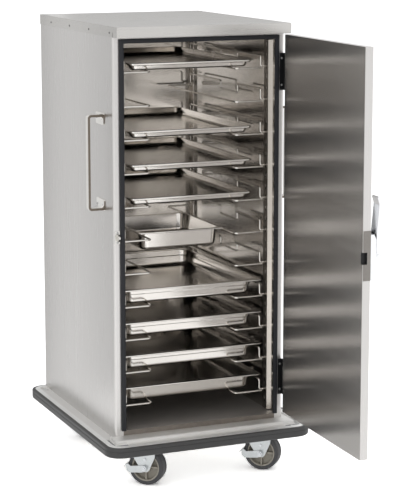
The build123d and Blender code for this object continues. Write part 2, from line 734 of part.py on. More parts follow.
def caster_wheel():
    """A rubber tyre on a spoked core."""
    rim_radius = WHEEL_RADIUS - TYRE_THICK
    tyre = Cylinder(WHEEL_RADIUS, WHEEL_WIDTH) - Cylinder(rim_radius, WHEEL_WIDTH)
    tyre = fillet([edge for edge in tyre.edges().filter_by(GeomType.CIRCLE)
                   if edge.radius > WHEEL_RADIUS - 1], TYRE_ROUND)
    core = Cylinder(rim_radius, WHEEL_WIDTH) - Cylinder(rim_radius - CORE_RIM, WHEEL_WIDTH)
    core += Cylinder(rim_radius - CORE_RIM + 1, CORE_WEB)
    core += Cylinder(HUB_RADIUS, WHEEL_WIDTH + LEG_GAP)
    spoke_length = rim_radius - HUB_RADIUS
    for number in range(SPOKES):
        spoke = Box(spoke_length, SPOKE_THICK, WHEEL_WIDTH - 8)
        core += Rot(0, 0, number * 360 / SPOKES) * Pos(HUB_RADIUS - 4 + spoke_length / 2, 0, 0) * spoke
    core -= Cylinder(AXLE_RADIUS + RUN_CLEAR, WHEEL_WIDTH * 2)
    place = Pos(CASTER_TRAIL, 0, WHEEL_RADIUS) * Rot(90, 0, 0)
    return [place * tyre, place * core]


def brake_pedal():
    """A pedal on the axle, with an arm down each side of the fork and a tread behind the wheel."""
    arm_in = leg_out + RUBBER_GAP
    arm_out = arm_in + LEG_SHEET - RUBBER_GAP
    tread = CASTER_TRAIL - WHEEL_RADIUS
    arm = [
        (CASTER_TRAIL + 6, WHEEL_RADIUS - 12), (CASTER_TRAIL + 10, WHEEL_RADIUS),
        (CASTER_TRAIL + 6, WHEEL_RADIUS + 10), (CASTER_TRAIL - 12, WHEEL_RADIUS + 8),
        (tread + 12, WHEEL_RADIUS + 2.5), (tread + 2, WHEEL_RADIUS + 11.5), (tread - 6, WHEEL_RADIUS + 4.5),
        (tread - 4, WHEEL_RADIUS - 13.5), (tread + 6, WHEEL_RADIUS - 21.5),
        (CASTER_TRAIL - 12, WHEEL_RADIUS - 17.5),
    ]
    pedal = flat(arm, Plane.XZ.offset(-arm_out), arm_out - arm_in)
    pedal += flat(arm, Plane.XZ.offset(arm_in), arm_out - arm_in)
    pad = [
        (tread - 4, WHEEL_RADIUS - 13.5), (tread - 6, WHEEL_RADIUS + 4.5), (tread - 12, WHEEL_RADIUS - 3.5),
        (tread - 14, WHEEL_RADIUS - 1.5), (tread - 6, WHEEL_RADIUS + 8.5), (tread - 3, WHEEL_RADIUS + 8.5),
        (tread - 2.5, WHEEL_RADIUS - 13.5),
    ]
    pedal += flat(pad, Plane.XZ.offset(-arm_out), 2 * arm_out)
    return pedal - cross_rod(AXLE_RADIUS + RUN_CLEAR, axle_half)


def casters():
    """Four swivel casters; the front pair carries brake pedals."""
    caster_plates()
    fork = caster_fork()
    axle, washers = axle_parts()
    wheel = caster_wheel()
    pedal = brake_pedal()
    places = {
        "front_left": (-caster_x, caster_front_y),
        "front_right": (caster_x, caster_front_y),
        "back_left": (-caster_x, caster_back_y),
        "back_right": (caster_x, caster_back_y),
    }
    for name, (x, y) in places.items():
        place = Pos(x, y, 0) * Rot(0, 0, CASTER_ANGLE)
        braked = name.startswith("front")
        bolted = [fork] + axle + ([] if braked else washers)
        save(f"fork_{name}", *[place * shape for shape in bolted])
        save(f"wheel_{name}", *[place * shape for shape in wheel])
        if braked:
            save(f"brake_{name}", place * pedal)


def handles():
    """A U-shaped push handle on each side."""
    out = side + HANDLE_STAND
    bar_plane = Plane.XZ.offset(-handle_front - HANDLE_WIDTH)
    outer = [(side, handle_bottom), (out, handle_bottom), (out, handle_top), (side, handle_top)]
    inner = [
        (side, handle_bottom + HANDLE_BAR), (out - HANDLE_BAR, handle_bottom + HANDLE_BAR),
        (out - HANDLE_BAR, handle_top - HANDLE_BAR), (side, handle_top - HANDLE_BAR),
    ]
    bar = flat(outer, bar_plane, HANDLE_WIDTH)
    bar = fillet([edge for edge in bar.edges().filter_by(Axis.Y) if edge.center().X > out - 1], HANDLE_ROUND)
    gap = flat(inner, bar_plane.offset(-1), HANDLE_WIDTH + 2)
    gap = fillet([edge for edge in gap.edges().filter_by(Axis.Y) if edge.center().X > out - HANDLE_BAR - 1],
                 HANDLE_ROUND - HANDLE_BAR + 1)
    handle = bar - gap
    face = side + FLANGE_SHEET
    for z in (handle_bottom + HANDLE_BAR / 2, handle_top - HANDLE_BAR / 2):
        flange = block(side, face, handle_front, handle_front + HANDLE_FLANGE,
                       z - HANDLE_FLANGE_HEIGHT / 2, z + HANDLE_FLANGE_HEIGHT / 2)
        handle += fillet(flange.edges().filter_by(Axis.X), FLANGE_ROUND)
    for y, z in handle_holes:
        handle -= rod((side - 1, y, z), (face, y, z), 2.5)
        handle -= rod((face, y, z), (face + 9, y, z), 5.5)
    save("side_handles", *both_sides(handle))
    screws = [screw((face, y, z), (-1, 0, 0), 4.5, FLANGE_SHEET + PANEL) for y, z in handle_holes]
    return [shape for item in screws for shape in both_sides(item)]


def open_door(shape):
    """Swing a piece of the closed door to where it stands."""
    return Pos(hinge_x, hinge_y, 0) * Rot(0, 0, DOOR_OPEN_ANGLE) * Pos(-hinge_x, -hinge_y, 0) * shape


def strike_pocket():
    """The space in the closed door's edge that the strike's tongue enters."""
    return block(-door_edge - 5, -door_edge + POCKET_WIDTH, door_in - POCKET_DEEP, door_in + 5,
                 pocket_bottom, pocket_top)


def latch_magnet():
    """The magnet at the bottom of the pocket."""
    floor = door_in - POCKET_DEEP
    return block(-door_edge + LATCH_PLATE, -door_edge + POCKET_WIDTH, floor - MAGNET_DEEP, floor,
                 pocket_bottom + STRIKE_MARGIN, pocket_top - STRIKE_MARGIN)


def door():
    """Door shells with their insulation, and the latch."""
    removed = strike_pocket() + latch_magnet()
    panel_back = door_in - LINER_SHEET
    skin = block(-door_edge, door_edge, door_out, panel_back, door_bottom, door_top)
    wool = block(-door_edge + PANEL, door_edge - PANEL, door_out + PANEL, panel_back,
                 door_bottom + PANEL, door_top - PANEL)
    inner_panel = block(-door_edge, door_edge, panel_back, door_in, door_bottom, door_top)
    save("door_skin", open_door(skin - wool - removed))
    save("door_inner_panel", open_door(inner_panel - strike_pocket()))
    save("door_insulation", open_door(wool - removed))
    latch()


def hinges():
    """Two hinges with their pins, and the screws in the jamb."""
    fixed = []
    moving = []
    pins = []
    screws = []
    arm_out = hinge_x - HINGE_RADIUS / 2
    arm_in = arm_out - HINGE_LEAF
    leaf_face = front - HINGE_LEAF
    screw_x = gasket_edge + 12
    third = HINGE_HEIGHT / 3
    for bottom in hinge_bottoms:
        top = bottom + HINGE_HEIGHT
        leaf = block(gasket_edge + 5, arm_out, leaf_face, front, bottom, top)
        leaf += block(arm_in, arm_out, hinge_y + HINGE_RADIUS / 2, front, bottom, top)
        leaf += rod((hinge_x, hinge_y, bottom), (hinge_x, hinge_y, top), HINGE_RADIUS)
        leaf -= block(arm_in - 5, hinge_x + 10, hinge_y - 10, hinge_y + 9,
                      bottom + third - RUBBER_GAP, top - third + RUBBER_GAP)
        leaf -= rod((hinge_x, hinge_y, bottom - 1), (hinge_x, hinge_y, top + 1), HINGE_PIN_RADIUS)
        for z in (bottom + HINGE_SCREW_IN, top - HINGE_SCREW_IN):
            leaf -= rod((screw_x, leaf_face - 1, z), (screw_x, front + 1, z), 2)
            screws.append(screw((screw_x, leaf_face, z), (0, 1, 0), 4, HINGE_LEAF))
        fixed.append(leaf)
        pin = rod((hinge_x, hinge_y, bottom - 2), (hinge_x, hinge_y, top), HINGE_PIN_RADIUS)
        pins.append(pin + rod((hinge_x, hinge_y, top), (hinge_x, hinge_y, top + 3), HINGE_RADIUS - 1))
        strap = block(door_edge, door_edge + HINGE_LEAF, door_out + 3, door_in - 3, bottom, top)
        strap += block(door_edge, hinge_x, hinge_y - HINGE_RADIUS, hinge_y - HINGE_RADIUS + HINGE_LEAF,
                       bottom + third, top - third)
        strap += rod((hinge_x, hinge_y, bottom + third), (hinge_x, hinge_y, top - third), HINGE_RADIUS)
        strap -= rod((hinge_x, hinge_y, bottom), (hinge_x, hinge_y, top), HINGE_PIN_RADIUS + RUN_CLEAR)
        moving.append(open_door(strap))
    save("hinge_leaves_fixed", *fixed, *pins)
    save("hinge_leaves_door", *moving)
    return screws


def latch():
    """Housing, edge plate, magnet, pin and lever on the door's free edge."""
    edge = -door_edge
    x0 = edge - LATCH_PLATE
    x1 = x0 + LATCH_WIDTH

    def side_view(points, start, width):
        """An outline of distances out from the door face and heights, across the door's width."""
        plane = Plane(origin=(start, door_out, 0), x_dir=(0, -1, 0), z_dir=(-1, 0, 0))
        return flat(points, plane, -width)

    plate = block(x0, edge, door_out, door_in - 2.5, latch_bottom, latch_top + 13) - strike_pocket()
    save("latch_edge_plate", open_door(plate), open_door(latch_magnet()))

    shoulder = LATCH_DEPTH - 2
    housing = side_view(
        [(0, latch_bottom), (11, latch_bottom), (shoulder, latch_bottom + 32),
         (LATCH_DEPTH, latch_bottom + 45), (LATCH_DEPTH, latch_top - 42), (12, latch_top),
         (0, latch_top)], x0, LATCH_WIDTH
    )
    pin_y = door_out - LATCH_PIVOT_OUT
    reach = SHELF_CLEAR + LEVER_CHEEK
    housing -= rod((x0 - 1, pin_y, pivot_z), (x1 + 1, pin_y, pivot_z), LATCH_PIN)
    pin_reach = reach + LEVER_CHEEK
    pin = rod((x0 - pin_reach, pin_y, pivot_z), (x1 + pin_reach, pin_y, pivot_z), LATCH_PIN)
    save("latch_housing", open_door(housing), open_door(pin))

    tip = pivot_z + LEVER_ABOVE
    heel = pivot_z - LEVER_BELOW
    lever = side_view(
        [(LEVER_OUT - 17, tip), (LEVER_OUT - 11, tip - 2), (LEVER_OUT - 3, tip - 16),
         (LEVER_OUT, tip - 34), (LEVER_OUT, heel + 16), (LEVER_OUT - 5, heel + 2),
         (LEVER_OUT - 13, heel), (LEVER_OUT - 19, heel + 6), (LEVER_OUT - 21, heel + 30),
         (LEVER_OUT - 21, heel + 80), (LEVER_OUT - 13, tip - 26), (LEVER_OUT - 19, tip - 6)],
        x0 - reach, LATCH_WIDTH + 2 * reach
    )
    lever -= block(x0 - SHELF_CLEAR, x1 + SHELF_CLEAR, door_out - LEVER_OUT + 2.5, door_out,
                   heel - 10, tip - 28)
    lever -= rod((x0 - 9, pin_y, pivot_z), (x1 + 9, pin_y, pivot_z), LATCH_PIN + RUN_CLEAR)
    save("latch_lever", open_door(lever))


strike_screws = [
    (-gasket_edge - 1 - STRIKE_WIDTH / 2, z)
    for z in (pocket_bottom + STRIKE_MARGIN, pocket_top - STRIKE_MARGIN)
]


def strike():
    """The strike on the left jamb, with the tongue that the pocket and magnet meet."""
    face = front - HINGE_LEAF
    tip = front - STRIKE_TONGUE
    plate = block(-gasket_edge - 1 - STRIKE_WIDTH, -gasket_edge - 1, face, front,
                  pocket_bottom - STRIKE_MARGIN, pocket_top + STRIKE_MARGIN)
    for x, z in strike_screws:
        plate -= rod((x, face - 1, z), (x, front + 1, z), 2)
    middle = (pocket_bottom + pocket_top) / 2
    tongue = flat(
        [(face, middle - 12), (tip + 8, middle - 12), (tip, middle - 3), (tip, middle + 3),
         (tip + 8, middle + 12), (face, middle + 12)],
        Plane.YZ.offset(-door_edge + 3), 6
    )
    save("strike_plate", plate + tongue)
    return [screw((x, face, z), (0, 1, 0), 4, HINGE_LEAF) for x, z in strike_screws]


def controls():
    """Control box, faceplate and what they hold."""
    wall = liner_back + LINER_SHEET
    box = block(-BOX_HALF, BOX_HALF, wall, back, box_bottom, box_top)
    box -= block(-BOX_HALF + BOX_SHEET, BOX_HALF - BOX_SHEET, wall + BOX_SHEET, back + 1,
                 box_bottom + BOX_SHEET, box_top - BOX_SHEET)
    box -= rod((-side, lead_y, lead_z), (side, lead_y, lead_z), CABLE / 2 + 0.5)
    box -= rod((PROBE_X, lead_y, box_top - 5), (PROBE_X, lead_y, box_top + 5), 2)
    save("control_box", box)

    z = controls_z
    plate = block(-plate_half, plate_half, back, plate_face, plate_bottom, plate_top)
    plate -= rod((KNOB_X, back - 1, z), (KNOB_X, plate_face + 1, z), STEM_RADIUS + 2)
    plate -= rod((LAMP_X, back - 1, z), (LAMP_X, plate_face + 1, z), LAMP_RADIUS)
    plate -= block(SWITCH_X - SWITCH_HALF_WIDTH, SWITCH_X + SWITCH_HALF_WIDTH, back - 1, plate_face + 1,
                   z - SWITCH_HALF_HEIGHT, z + SWITCH_HALF_HEIGHT)
    plate -= block(INLET_X - INLET_HALF_WIDTH, INLET_X + INLET_HALF_WIDTH, back - 1, plate_face + 1,
                   z - INLET_HALF_HEIGHT, z + INLET_HALF_HEIGHT)
    for screw_x, screw_z in plate_screws:
        plate -= rod((screw_x, back - 1, screw_z), (screw_x, plate_face + 1, screw_z), 2)
    save("control_plate", plate)

    stem_end = plate_face + KNOB_DEEP - 3
    thermostat = block(KNOB_X - THERMOSTAT_HALF, KNOB_X + THERMOSTAT_HALF, back - THERMOSTAT_DEEP, back,
                       z - THERMOSTAT_HALF, z + THERMOSTAT_HALF)
    thermostat += rod((KNOB_X, back - 1, z), (KNOB_X, stem_end, z), STEM_RADIUS)
    save("thermostat", thermostat)
    knob = rod((KNOB_X, plate_face + RUBBER_GAP, z), (KNOB_X, plate_face + KNOB_DEEP, z), KNOB_RADIUS)
    knob += block(KNOB_X - 2.5, KNOB_X + 2.5, plate_face + 4, plate_face + KNOB_DEEP + 0.5,
                  z - KNOB_RADIUS + 1, z + KNOB_RADIUS - 1)
    knob -= rod((KNOB_X, plate_face - 1, z), (KNOB_X, stem_end + 0.5, z), STEM_RADIUS + RUN_CLEAR)
    save("thermostat_knob", knob)

    lamp = rod((LAMP_X, back - 14, z), (LAMP_X, plate_face, z), LAMP_RADIUS)
    lamp += rod((LAMP_X, plate_face, z), (LAMP_X, plate_face + 4, z), LAMP_RADIUS + 1.5)
    save("pilot_lamp", lamp)

    def box_around(x, half_width, y0, y1, half_height):
        """A box about the middle height of the controls."""
        return block(x - half_width, x + half_width, y0, y1, z - half_height, z + half_height)

    switch = box_around(SWITCH_X, SWITCH_HALF_WIDTH, back - BODY_DEEP + 1, plate_face, SWITCH_HALF_HEIGHT)
    switch += box_around(SWITCH_X, SWITCH_HALF_WIDTH + 2, plate_face, plate_face + 1.5,
                         SWITCH_HALF_HEIGHT + 2)
    switch -= box_around(SWITCH_X, SWITCH_HALF_WIDTH - 2, back - 12, plate_face + 5, SWITCH_HALF_HEIGHT - 2)
    save("power_switch", switch)
    rocker_half = SWITCH_HALF_WIDTH - 2.4
    rocker = Box(2 * rocker_half, 6, 2 * SWITCH_HALF_HEIGHT - 6.8)
    rocker += rod((-rocker_half, -2, 0), (rocker_half, -2, 0), 4)
    save("switch_rocker", Pos(SWITCH_X, plate_face + 1.5, z) * Rot(SWITCH_TILT, 0, 0) * rocker)

    inlet = box_around(INLET_X, INLET_HALF_WIDTH, back - BODY_DEEP, plate_face, INLET_HALF_HEIGHT)
    inlet += box_around(INLET_X, INLET_HALF_WIDTH + 11, plate_face, plate_face + 2.5, INLET_HALF_HEIGHT + 3)
    inlet -= box_around(INLET_X, INLET_HALF_WIDTH - 2, back - 16, plate_face + 5, INLET_HALF_HEIGHT - 2.5)
    for dx, dz in ((-7, -2), (7, -2), (0, 3)):
        inlet += block(INLET_X + dx - 1, INLET_X + dx + 1, back - 17, back - 3, z + dz - 2, z + dz + 2)
    save("power_inlet", inlet)
    return [screw((x, plate_face, z), (0, -1, 0), 3.5, PLATE_SHEET + PANEL) for x, z in plate_screws]


def heating():
    """Heating cable in each side wall with its lead, and the probe with its tube."""
    low = floor_z + CABLE_RISE
    high = liner_top - CABLE_DROP
    first_y = front + CABLE_FRONT_IN
    pitch = (liner_back - CABLE_BACK_IN - first_y) / (CABLE_RUNS - 1)
    points = []
    for run in range(CABLE_RUNS):
        y = first_y + run * pitch
        ends = (high, low) if run % 2 else (low, high)
        points += [(cable_x, y, ends[0]), (cable_x, y, ends[1])]
    last_y = first_y + (CABLE_RUNS - 0.5) * pitch
    points += [(cable_x, last_y, high), (cable_x, last_y, lead_z), (cable_x, lead_y, lead_z),
               (BOX_HALF - 4, lead_y, lead_z)]
    radii = [0.45 * pitch] * (2 * CABLE_RUNS - 2) + [20, 20, 14, 12]
    cable = bent_wire(points, radii, CABLE)
    probe_end = liner_back + LINER_SHEET
    tube = bent_wire(
        [(PROBE_X, lead_y, box_top - 6), (PROBE_X, lead_y, probe_z), (PROBE_X, probe_end, probe_z)],
        10, PROBE_RADIUS
    )
    save("heating_cables", *both_sides(cable), tube)

    probe = rod((PROBE_X, liner_back, probe_z), (PROBE_X, liner_back - PROBE_LENGTH, probe_z), PROBE_RADIUS)
    probe += rod((PROBE_X, liner_back, probe_z), (PROBE_X, liner_back - 4, probe_z), 3 * PROBE_RADIUS)
    probe += rod((PROBE_X, liner_back, probe_z), (PROBE_X, probe_end, probe_z), PROBE_RADIUS + 0.8)
    save("temperature_probe", probe)


os.makedirs("parts", exist_ok=True)
outer_shell()
inner_shell()
base()
gasket()
uprights()
wire_slides()
pans()
casters()
door()
heating()
fasteners = handles() + hinges() + controls() + strike()
for x, y in caster_bolts():
    fasteners.append(screw((x, y, plate_top_z - PLATE_THICK), (0, 0, 1), 9, PLATE_THICK + BEAM_WALL))
save("cabinet_screws", *fasteners)
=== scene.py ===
import json
import math

import bmesh
import bpy
from mathutils import Matrix, Vector


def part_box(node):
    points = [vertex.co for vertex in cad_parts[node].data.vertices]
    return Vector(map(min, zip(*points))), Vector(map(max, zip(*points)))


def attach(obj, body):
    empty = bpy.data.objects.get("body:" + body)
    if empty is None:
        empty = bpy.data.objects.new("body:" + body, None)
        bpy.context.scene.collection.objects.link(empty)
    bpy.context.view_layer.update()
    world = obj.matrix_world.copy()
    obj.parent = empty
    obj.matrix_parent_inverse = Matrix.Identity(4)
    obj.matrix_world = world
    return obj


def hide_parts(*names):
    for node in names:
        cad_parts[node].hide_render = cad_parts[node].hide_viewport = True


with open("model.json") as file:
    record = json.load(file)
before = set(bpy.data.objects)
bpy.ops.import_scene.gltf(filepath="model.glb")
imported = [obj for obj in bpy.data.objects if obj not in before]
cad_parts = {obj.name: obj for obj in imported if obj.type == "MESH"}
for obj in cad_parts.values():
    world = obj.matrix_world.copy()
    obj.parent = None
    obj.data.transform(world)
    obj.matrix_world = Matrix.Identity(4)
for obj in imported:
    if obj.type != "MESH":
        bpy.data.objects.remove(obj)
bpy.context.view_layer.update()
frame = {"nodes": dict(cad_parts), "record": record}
MM = 0.001
PHOTO_HEIGHT = 500

node_body = {
    node: body for body, nodes in frame["record"]["behaviour"]["bodies"].items() for node in nodes
}


def select_none():
    """Leave nothing selected, in object mode."""
    if bpy.context.object and bpy.context.object.mode != "OBJECT":
        bpy.ops.object.mode_set(mode="OBJECT")
    bpy.ops.object.select_all(action="DESELECT")


def activate(piece):
    """Make one piece the only selected and active one."""
    select_none()
    piece.select_set(True)
    bpy.context.view_layer.objects.active = piece


def linear(code):
    """An sRGB hex colour as linear values."""
    values = [int(code[i:i + 2], 16) / 255 for i in (1, 3, 5)]
    return [v / 12.92 if v <= 0.04045 else ((v + 0.055) / 1.055) ** 2.4 for v in values] + [1.0]


def add(tree, kind, inputs=None, **settings):
    """Add a node with its settings, values and links."""
    made = tree.nodes.new(kind)
    for name, value in settings.items():
        setattr(made, name, value)
    for name, value in (inputs or {}).items():
        if isinstance(value, bpy.types.NodeSocket):
            tree.links.new(value, made.inputs[name])
        else:
            made.inputs[name].default_value = value
    return made


def start_material(name, code, roughness, metallic=0.0):
    """A material with its shader, and the node tree to add a pattern to."""
    material = bpy.data.materials.new(name)
    material.use_nodes = True
    tree = material.node_tree
    shader = tree.nodes["Principled BSDF"]
    shader.inputs["Base Color"].default_value = linear(code)
    shader.inputs["Roughness"].default_value = roughness
    shader.inputs["Metallic"].default_value = metallic
    material.diffuse_color = linear(code)
    return material, tree, shader


def brushed_steel(name, light, dark, roughness, grain, spread=0.08, bump=0.02, smear=None):
    """Stainless sheet, belt brushed: fine lines along one direction, which smear reflections across it.
    grain is the length of the brush marks along X, Y and Z in millimetres."""
    material, tree, shader = start_material(name, light, roughness, 1.0)
    if smear:
        shader.inputs["Anisotropic"].default_value = 0.88
        across = add(tree, "ShaderNodeCombineXYZ", dict(zip("XYZ", smear)))
        tree.links.new(across.outputs["Vector"], shader.inputs["Tangent"])
    place = add(tree, "ShaderNodeTexCoord")
    scale = [1 / (length * MM) for length in grain]
    lines = add(tree, "ShaderNodeMapping", {"Vector": place.outputs["Object"], "Scale": scale})
    grit = add(tree, "ShaderNodeTexNoise", {"Vector": lines.outputs["Vector"], "Scale": 1.0, "Detail": 4.0,
                                            "Roughness": 0.6})
    tone = add(tree, "ShaderNodeMix", {"Factor": grit.outputs["Fac"], "A": linear(dark), "B": linear(light)},
               data_type="RGBA")
    tree.links.new(tone.outputs["Result"], shader.inputs["Base Color"])
    rough = add(tree, "ShaderNodeMapRange", {
        "Value": grit.outputs["Fac"], "From Min": 0.3, "From Max": 0.7,
        "To Min": roughness - spread / 2, "To Max": roughness + spread / 2})
    tree.links.new(rough.outputs["Result"], shader.inputs["Roughness"])
    dent = add(tree, "ShaderNodeBump", {"Height": grit.outputs["Fac"], "Strength": bump, "Distance": 0.001})
    tree.links.new(dent.outputs["Normal"], shader.inputs["Normal"])
    return material


def speckled(name, light, dark, roughness, size, metallic=0.0, bump=0.1):
    """A moulded, cast or plated surface with a fine grain of the given size in millimetres."""
    material, tree, shader = start_material(name, light, roughness, metallic)
    place = add(tree, "ShaderNodeTexCoord")
    grain = add(tree, "ShaderNodeTexNoise", {"Vector": place.outputs["Object"], "Scale": 1 / (size * MM),
                                             "Detail": 3.0})
    tone = add(tree, "ShaderNodeMix", {"Factor": grain.outputs["Fac"], "A": linear(dark),
                                       "B": linear(light)}, data_type="RGBA")
    tree.links.new(tone.outputs["Result"], shader.inputs["Base Color"])
    dent = add(tree, "ShaderNodeBump", {"Height": grain.outputs["Fac"], "Strength": bump,
                                        "Distance": 0.0005})
    tree.links.new(dent.outputs["Normal"], shader.inputs["Normal"])
    return material


# Brush marks are far finer than a pixel, so they are drawn as wide as they need to show.
ACROSS = 5
ALONG = 260
materials = {
    # Belt-brushed stainless sheet: a soft, even grey with faint lines along the brushing.
    "stainless": brushed_steel("brushed_stainless", "#D0CECC", "#C7C5C3", 0.3, (ACROSS, ACROSS, ALONG)),
    "stainless_across": brushed_steel("brushed_stainless_across", "#CBC9C6", "#C1BFBC", 0.3,
                                      (ALONG, ACROSS, ACROSS)),
    # Bright annealed stainless: near mirror, with broad soft unevenness from rolling.
    "liner_steel": brushed_steel("bright_annealed_stainless", "#DAD6D1", "#D2CEC9", 0.15, (120, 120, 60),
                                 0.04, 0.0),
    # The door's lining is brushed upright, so reflections smear into level bands.
    "door_lining": brushed_steel("door_lining_stainless", "#B4B1AE", "#AFACA9", 0.26, (900, 900, 30),
                                 0.02, 0.0, (0, 1, 0)),
    # Painted shade: the bow handle's side faces are dark and dull beside the polished face of the bar.
    "bar_side_painted_shade": speckled("bar_side_steel_painted_shade", "#7A7168", "#655D54", 0.4, 4, 1.0, 0.05),
    "bow_steel": speckled("bow_handle_stainless", "#F4F2EE", "#E8E6E2", 0.35, 6, 1.0, 0.02),
    # Deck and sill are matt from wear, the compartment's floor painted darker as shade.
    "deck_steel": brushed_steel("deck_stainless", "#F0EFED", "#E4E3E1", 0.55, (ALONG, ACROSS, ACROSS)),
    # Slotted faces in the shade of the slides, the latch's plate and the cap's folded seams.
    "upright_face": speckled("upright_face_stainless", "#8E8880", "#7C766E", 0.35, 20, 1.0, 0.0),
    # Painted shade: the floor's front lip is dark where the compartment's shade falls.
    "floor_lip_painted_shade": speckled("floor_lip_stainless_painted_shade", "#857E77", "#6C665F", 0.35, 30, 1.0, 0.0),
    # Painted shade: the compartment floor's base is darker than the liner's.
    "floor_steel_painted_shade": brushed_steel("floor_stainless_painted_shade", "#C4C0BC", "#B4B0AC", 0.5, (300, 300, 300), 0.05, 0.0),
    "latch_plate_steel": speckled("latch_plate_steel", "#8E8A86", "#7C7874", 0.3, 5, 1.0, 0.03),
    "seam_shadow": speckled("folded_seam", "#6C6B6A", "#5E5D5C", 0.5, 4, 1.0, 0.05),
    "axle_steel": speckled("axle_bright_steel", "#D6D9DC", "#C4C7CA", 0.16, 3, 1.0, 0.02),
    # Packed glass wool: pale yellow, matt and fibrous.
    "insulation": speckled("glass_wool", "#D8CFA8", "#C4B98C", 0.95, 3),
    # Extruded aluminium: pale, with fine die lines. Moulded rubber: matt, dark, finely pitted.
    "aluminium": brushed_steel("extruded_aluminium", "#FAFAF9", "#EFEFEE", 0.55, (60, 60, 4)),
    "bumper_rubber": speckled("bumper_rubber", "#393939", "#2D2D2D", 0.45, 1.5),
    "base_steel": speckled("galvanised_steel", "#9A9A98", "#85858A", 0.5, 8, 1.0),
    "gasket_rubber": speckled("gasket_rubber", "#0B0D15", "#07080E", 0.62, 2),
    # Nickel chrome wire and polished stainless: bright, sharp highlights.
    "chrome_wire": speckled("nickel_chrome_wire", "#D6D2CC", "#C6C2BC", 0.16, 4, 1.0, 0.02),
    "polished_steel": speckled("polished_stainless", "#DCDAD6", "#CCCAC6", 0.18, 6, 1.0, 0.02),
    # Black oxide on the hinges, bright zinc on the casters, turned stainless on the screws.
    "black_steel": speckled("black_oxide_steel", "#1B1B1D", "#121213", 0.4, 2, 0.3),
    "zinc": speckled("bright_zinc_plate", "#CDD0D1", "#B9BDBE", 0.28, 5, 1.0, 0.05),
    "screw_steel": speckled("screw_stainless", "#B8B8B8", "#A4A4A4", 0.3, 2, 1.0, 0.03),
    # Moulded controls: matt black body, glossy red lens, soft silicone jacket.
    "black_plastic": speckled("moulded_abs_black", "#1A1A1B", "#141415", 0.5, 1.2),
    "red_lens": speckled("red_lens_polycarbonate", "#B02018", "#8A140E", 0.15, 4),
    "cable_jacket": speckled("silicone_jacket", "#C8C2B8", "#B4AEA4", 0.6, 2),
    # Chrome on the latch: the brightest metal, almost without grain.
    "chrome": speckled("chrome_plate", "#EDEEF0", "#E4E5E7", 0.14, 8, 1.0, 0.01),
    "wheel_rubber": speckled("wheel_rubber", "#464648", "#39393B", 0.6, 2),
    "wheel_core": speckled("wheel_core_nylon", "#A39E93", "#8F8A80", 0.45, 3),
    # Drawn pans: bright, slightly warm, without a brushing direction.
    "pan_steel": brushed_steel("pan_stainless", "#E6E2DD", "#DCD8D3", 0.16, (90, 90, 90), 0.05, 0.0),
}


def finish_piece(piece, body, material):
    """Give a piece its material, body and slot, with its large faces shaded flat."""
    activate(piece)
    flat = piece.modifiers.new("flat", "WEIGHTED_NORMAL")
    flat.keep_sharp = True
    flat.weight = 90
    bpy.ops.object.modifier_apply(modifier="flat")
    piece.data.materials.clear()
    piece.data.materials.append(materials[material])
    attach(piece, body)
    return piece


def in_mm(box):
    """The lowest and highest corners of a box, in millimetres."""
    return [Vector(corner_at) / MM for corner_at in box]


def smooth(piece, degrees=32):
    """Smooth shading except over sharp edges."""
    activate(piece)
    bpy.ops.object.shade_smooth_by_angle(angle=math.radians(degrees))


def merged_copy(node, name):
    """A copy of a node's solid with its triangles joined into whole faces."""
    piece = bpy.data.objects.new(name, frame["nodes"][node].data.copy())
    bpy.context.scene.collection.objects.link(piece)
    activate(piece)
    bpy.ops.object.mode_set(mode="EDIT")
    bpy.ops.mesh.select_all(action="SELECT")
    bpy.ops.mesh.remove_doubles(threshold=0.00001)
    bpy.ops.mesh.dissolve_limited(angle_limit=math.radians(0.4))
    bpy.ops.object.mode_set(mode="OBJECT")
    return piece


def break_edges(piece, width):
    """Bevel the sharp edges of the active piece by millimetres, as folding and deburring leave them."""
    bevel = piece.modifiers.new("edges", "BEVEL")
    bevel.width = width * MM
    bevel.segments = 2
    bevel.limit_method = "ANGLE"
    bevel.angle_limit = math.radians(50)
    bpy.ops.object.modifier_apply(modifier="edges")


def cut_free(piece, name):
    """Make the faces selected in edit mode a piece of their own."""
    bpy.ops.mesh.separate(type="SELECTED")
    bpy.ops.object.mode_set(mode="OBJECT")
    freed = [made for made in bpy.context.selected_objects if made != piece][0]
    freed.name = name
    return freed


def loose_solids():
    """Part the active piece into the separate solids that it holds."""
    bpy.ops.object.mode_set(mode="EDIT")
    bpy.ops.mesh.separate(type="LOOSE")
    bpy.ops.object.mode_set(mode="OBJECT")
    return list(bpy.context.selected_objects)


def dress(node, material, edge):
    """A copy of a node's solid with its edges broken by millimetres and its finish on."""
    piece = merged_copy(node, node + "_finished")
    if edge:
        break_edges(piece, edge)
    smooth(piece)
    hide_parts(node)
    return finish_piece(piece, node_body[node], material)


def block(name, low, high):
    """A block between two corners in millimetres, open in edit mode."""
    select_none()
    bpy.ops.mesh.primitive_cube_add(size=1, location=[(a + b) / 2 * MM for a, b in zip(low, high)])
    piece = bpy.context.object
    piece.name = name
    piece.scale = [(b - a) * MM for a, b in zip(low, high)]
    bpy.ops.object.transform_apply(location=True, rotation=True, scale=True)
    bpy.ops.object.mode_set(mode="EDIT")
    return piece


def disc(name, middle, radius, depth, along="Z", sides=32):
    """A round block about a middle in millimetres, open in edit mode."""
    select_none()
    turns = {"X": (0, math.pi / 2, 0), "Y": (math.pi / 2, 0, 0), "Z": (0, 0, 0)}
    bpy.ops.mesh.primitive_cylinder_add(vertices=sides, radius=radius * MM, depth=depth * MM,
                                        location=[value * MM for value in middle], rotation=turns[along])
    piece = bpy.context.object
    piece.name = name
    bpy.ops.object.transform_apply(location=True, rotation=True, scale=True)
    bpy.ops.object.mode_set(mode="EDIT")
    return piece


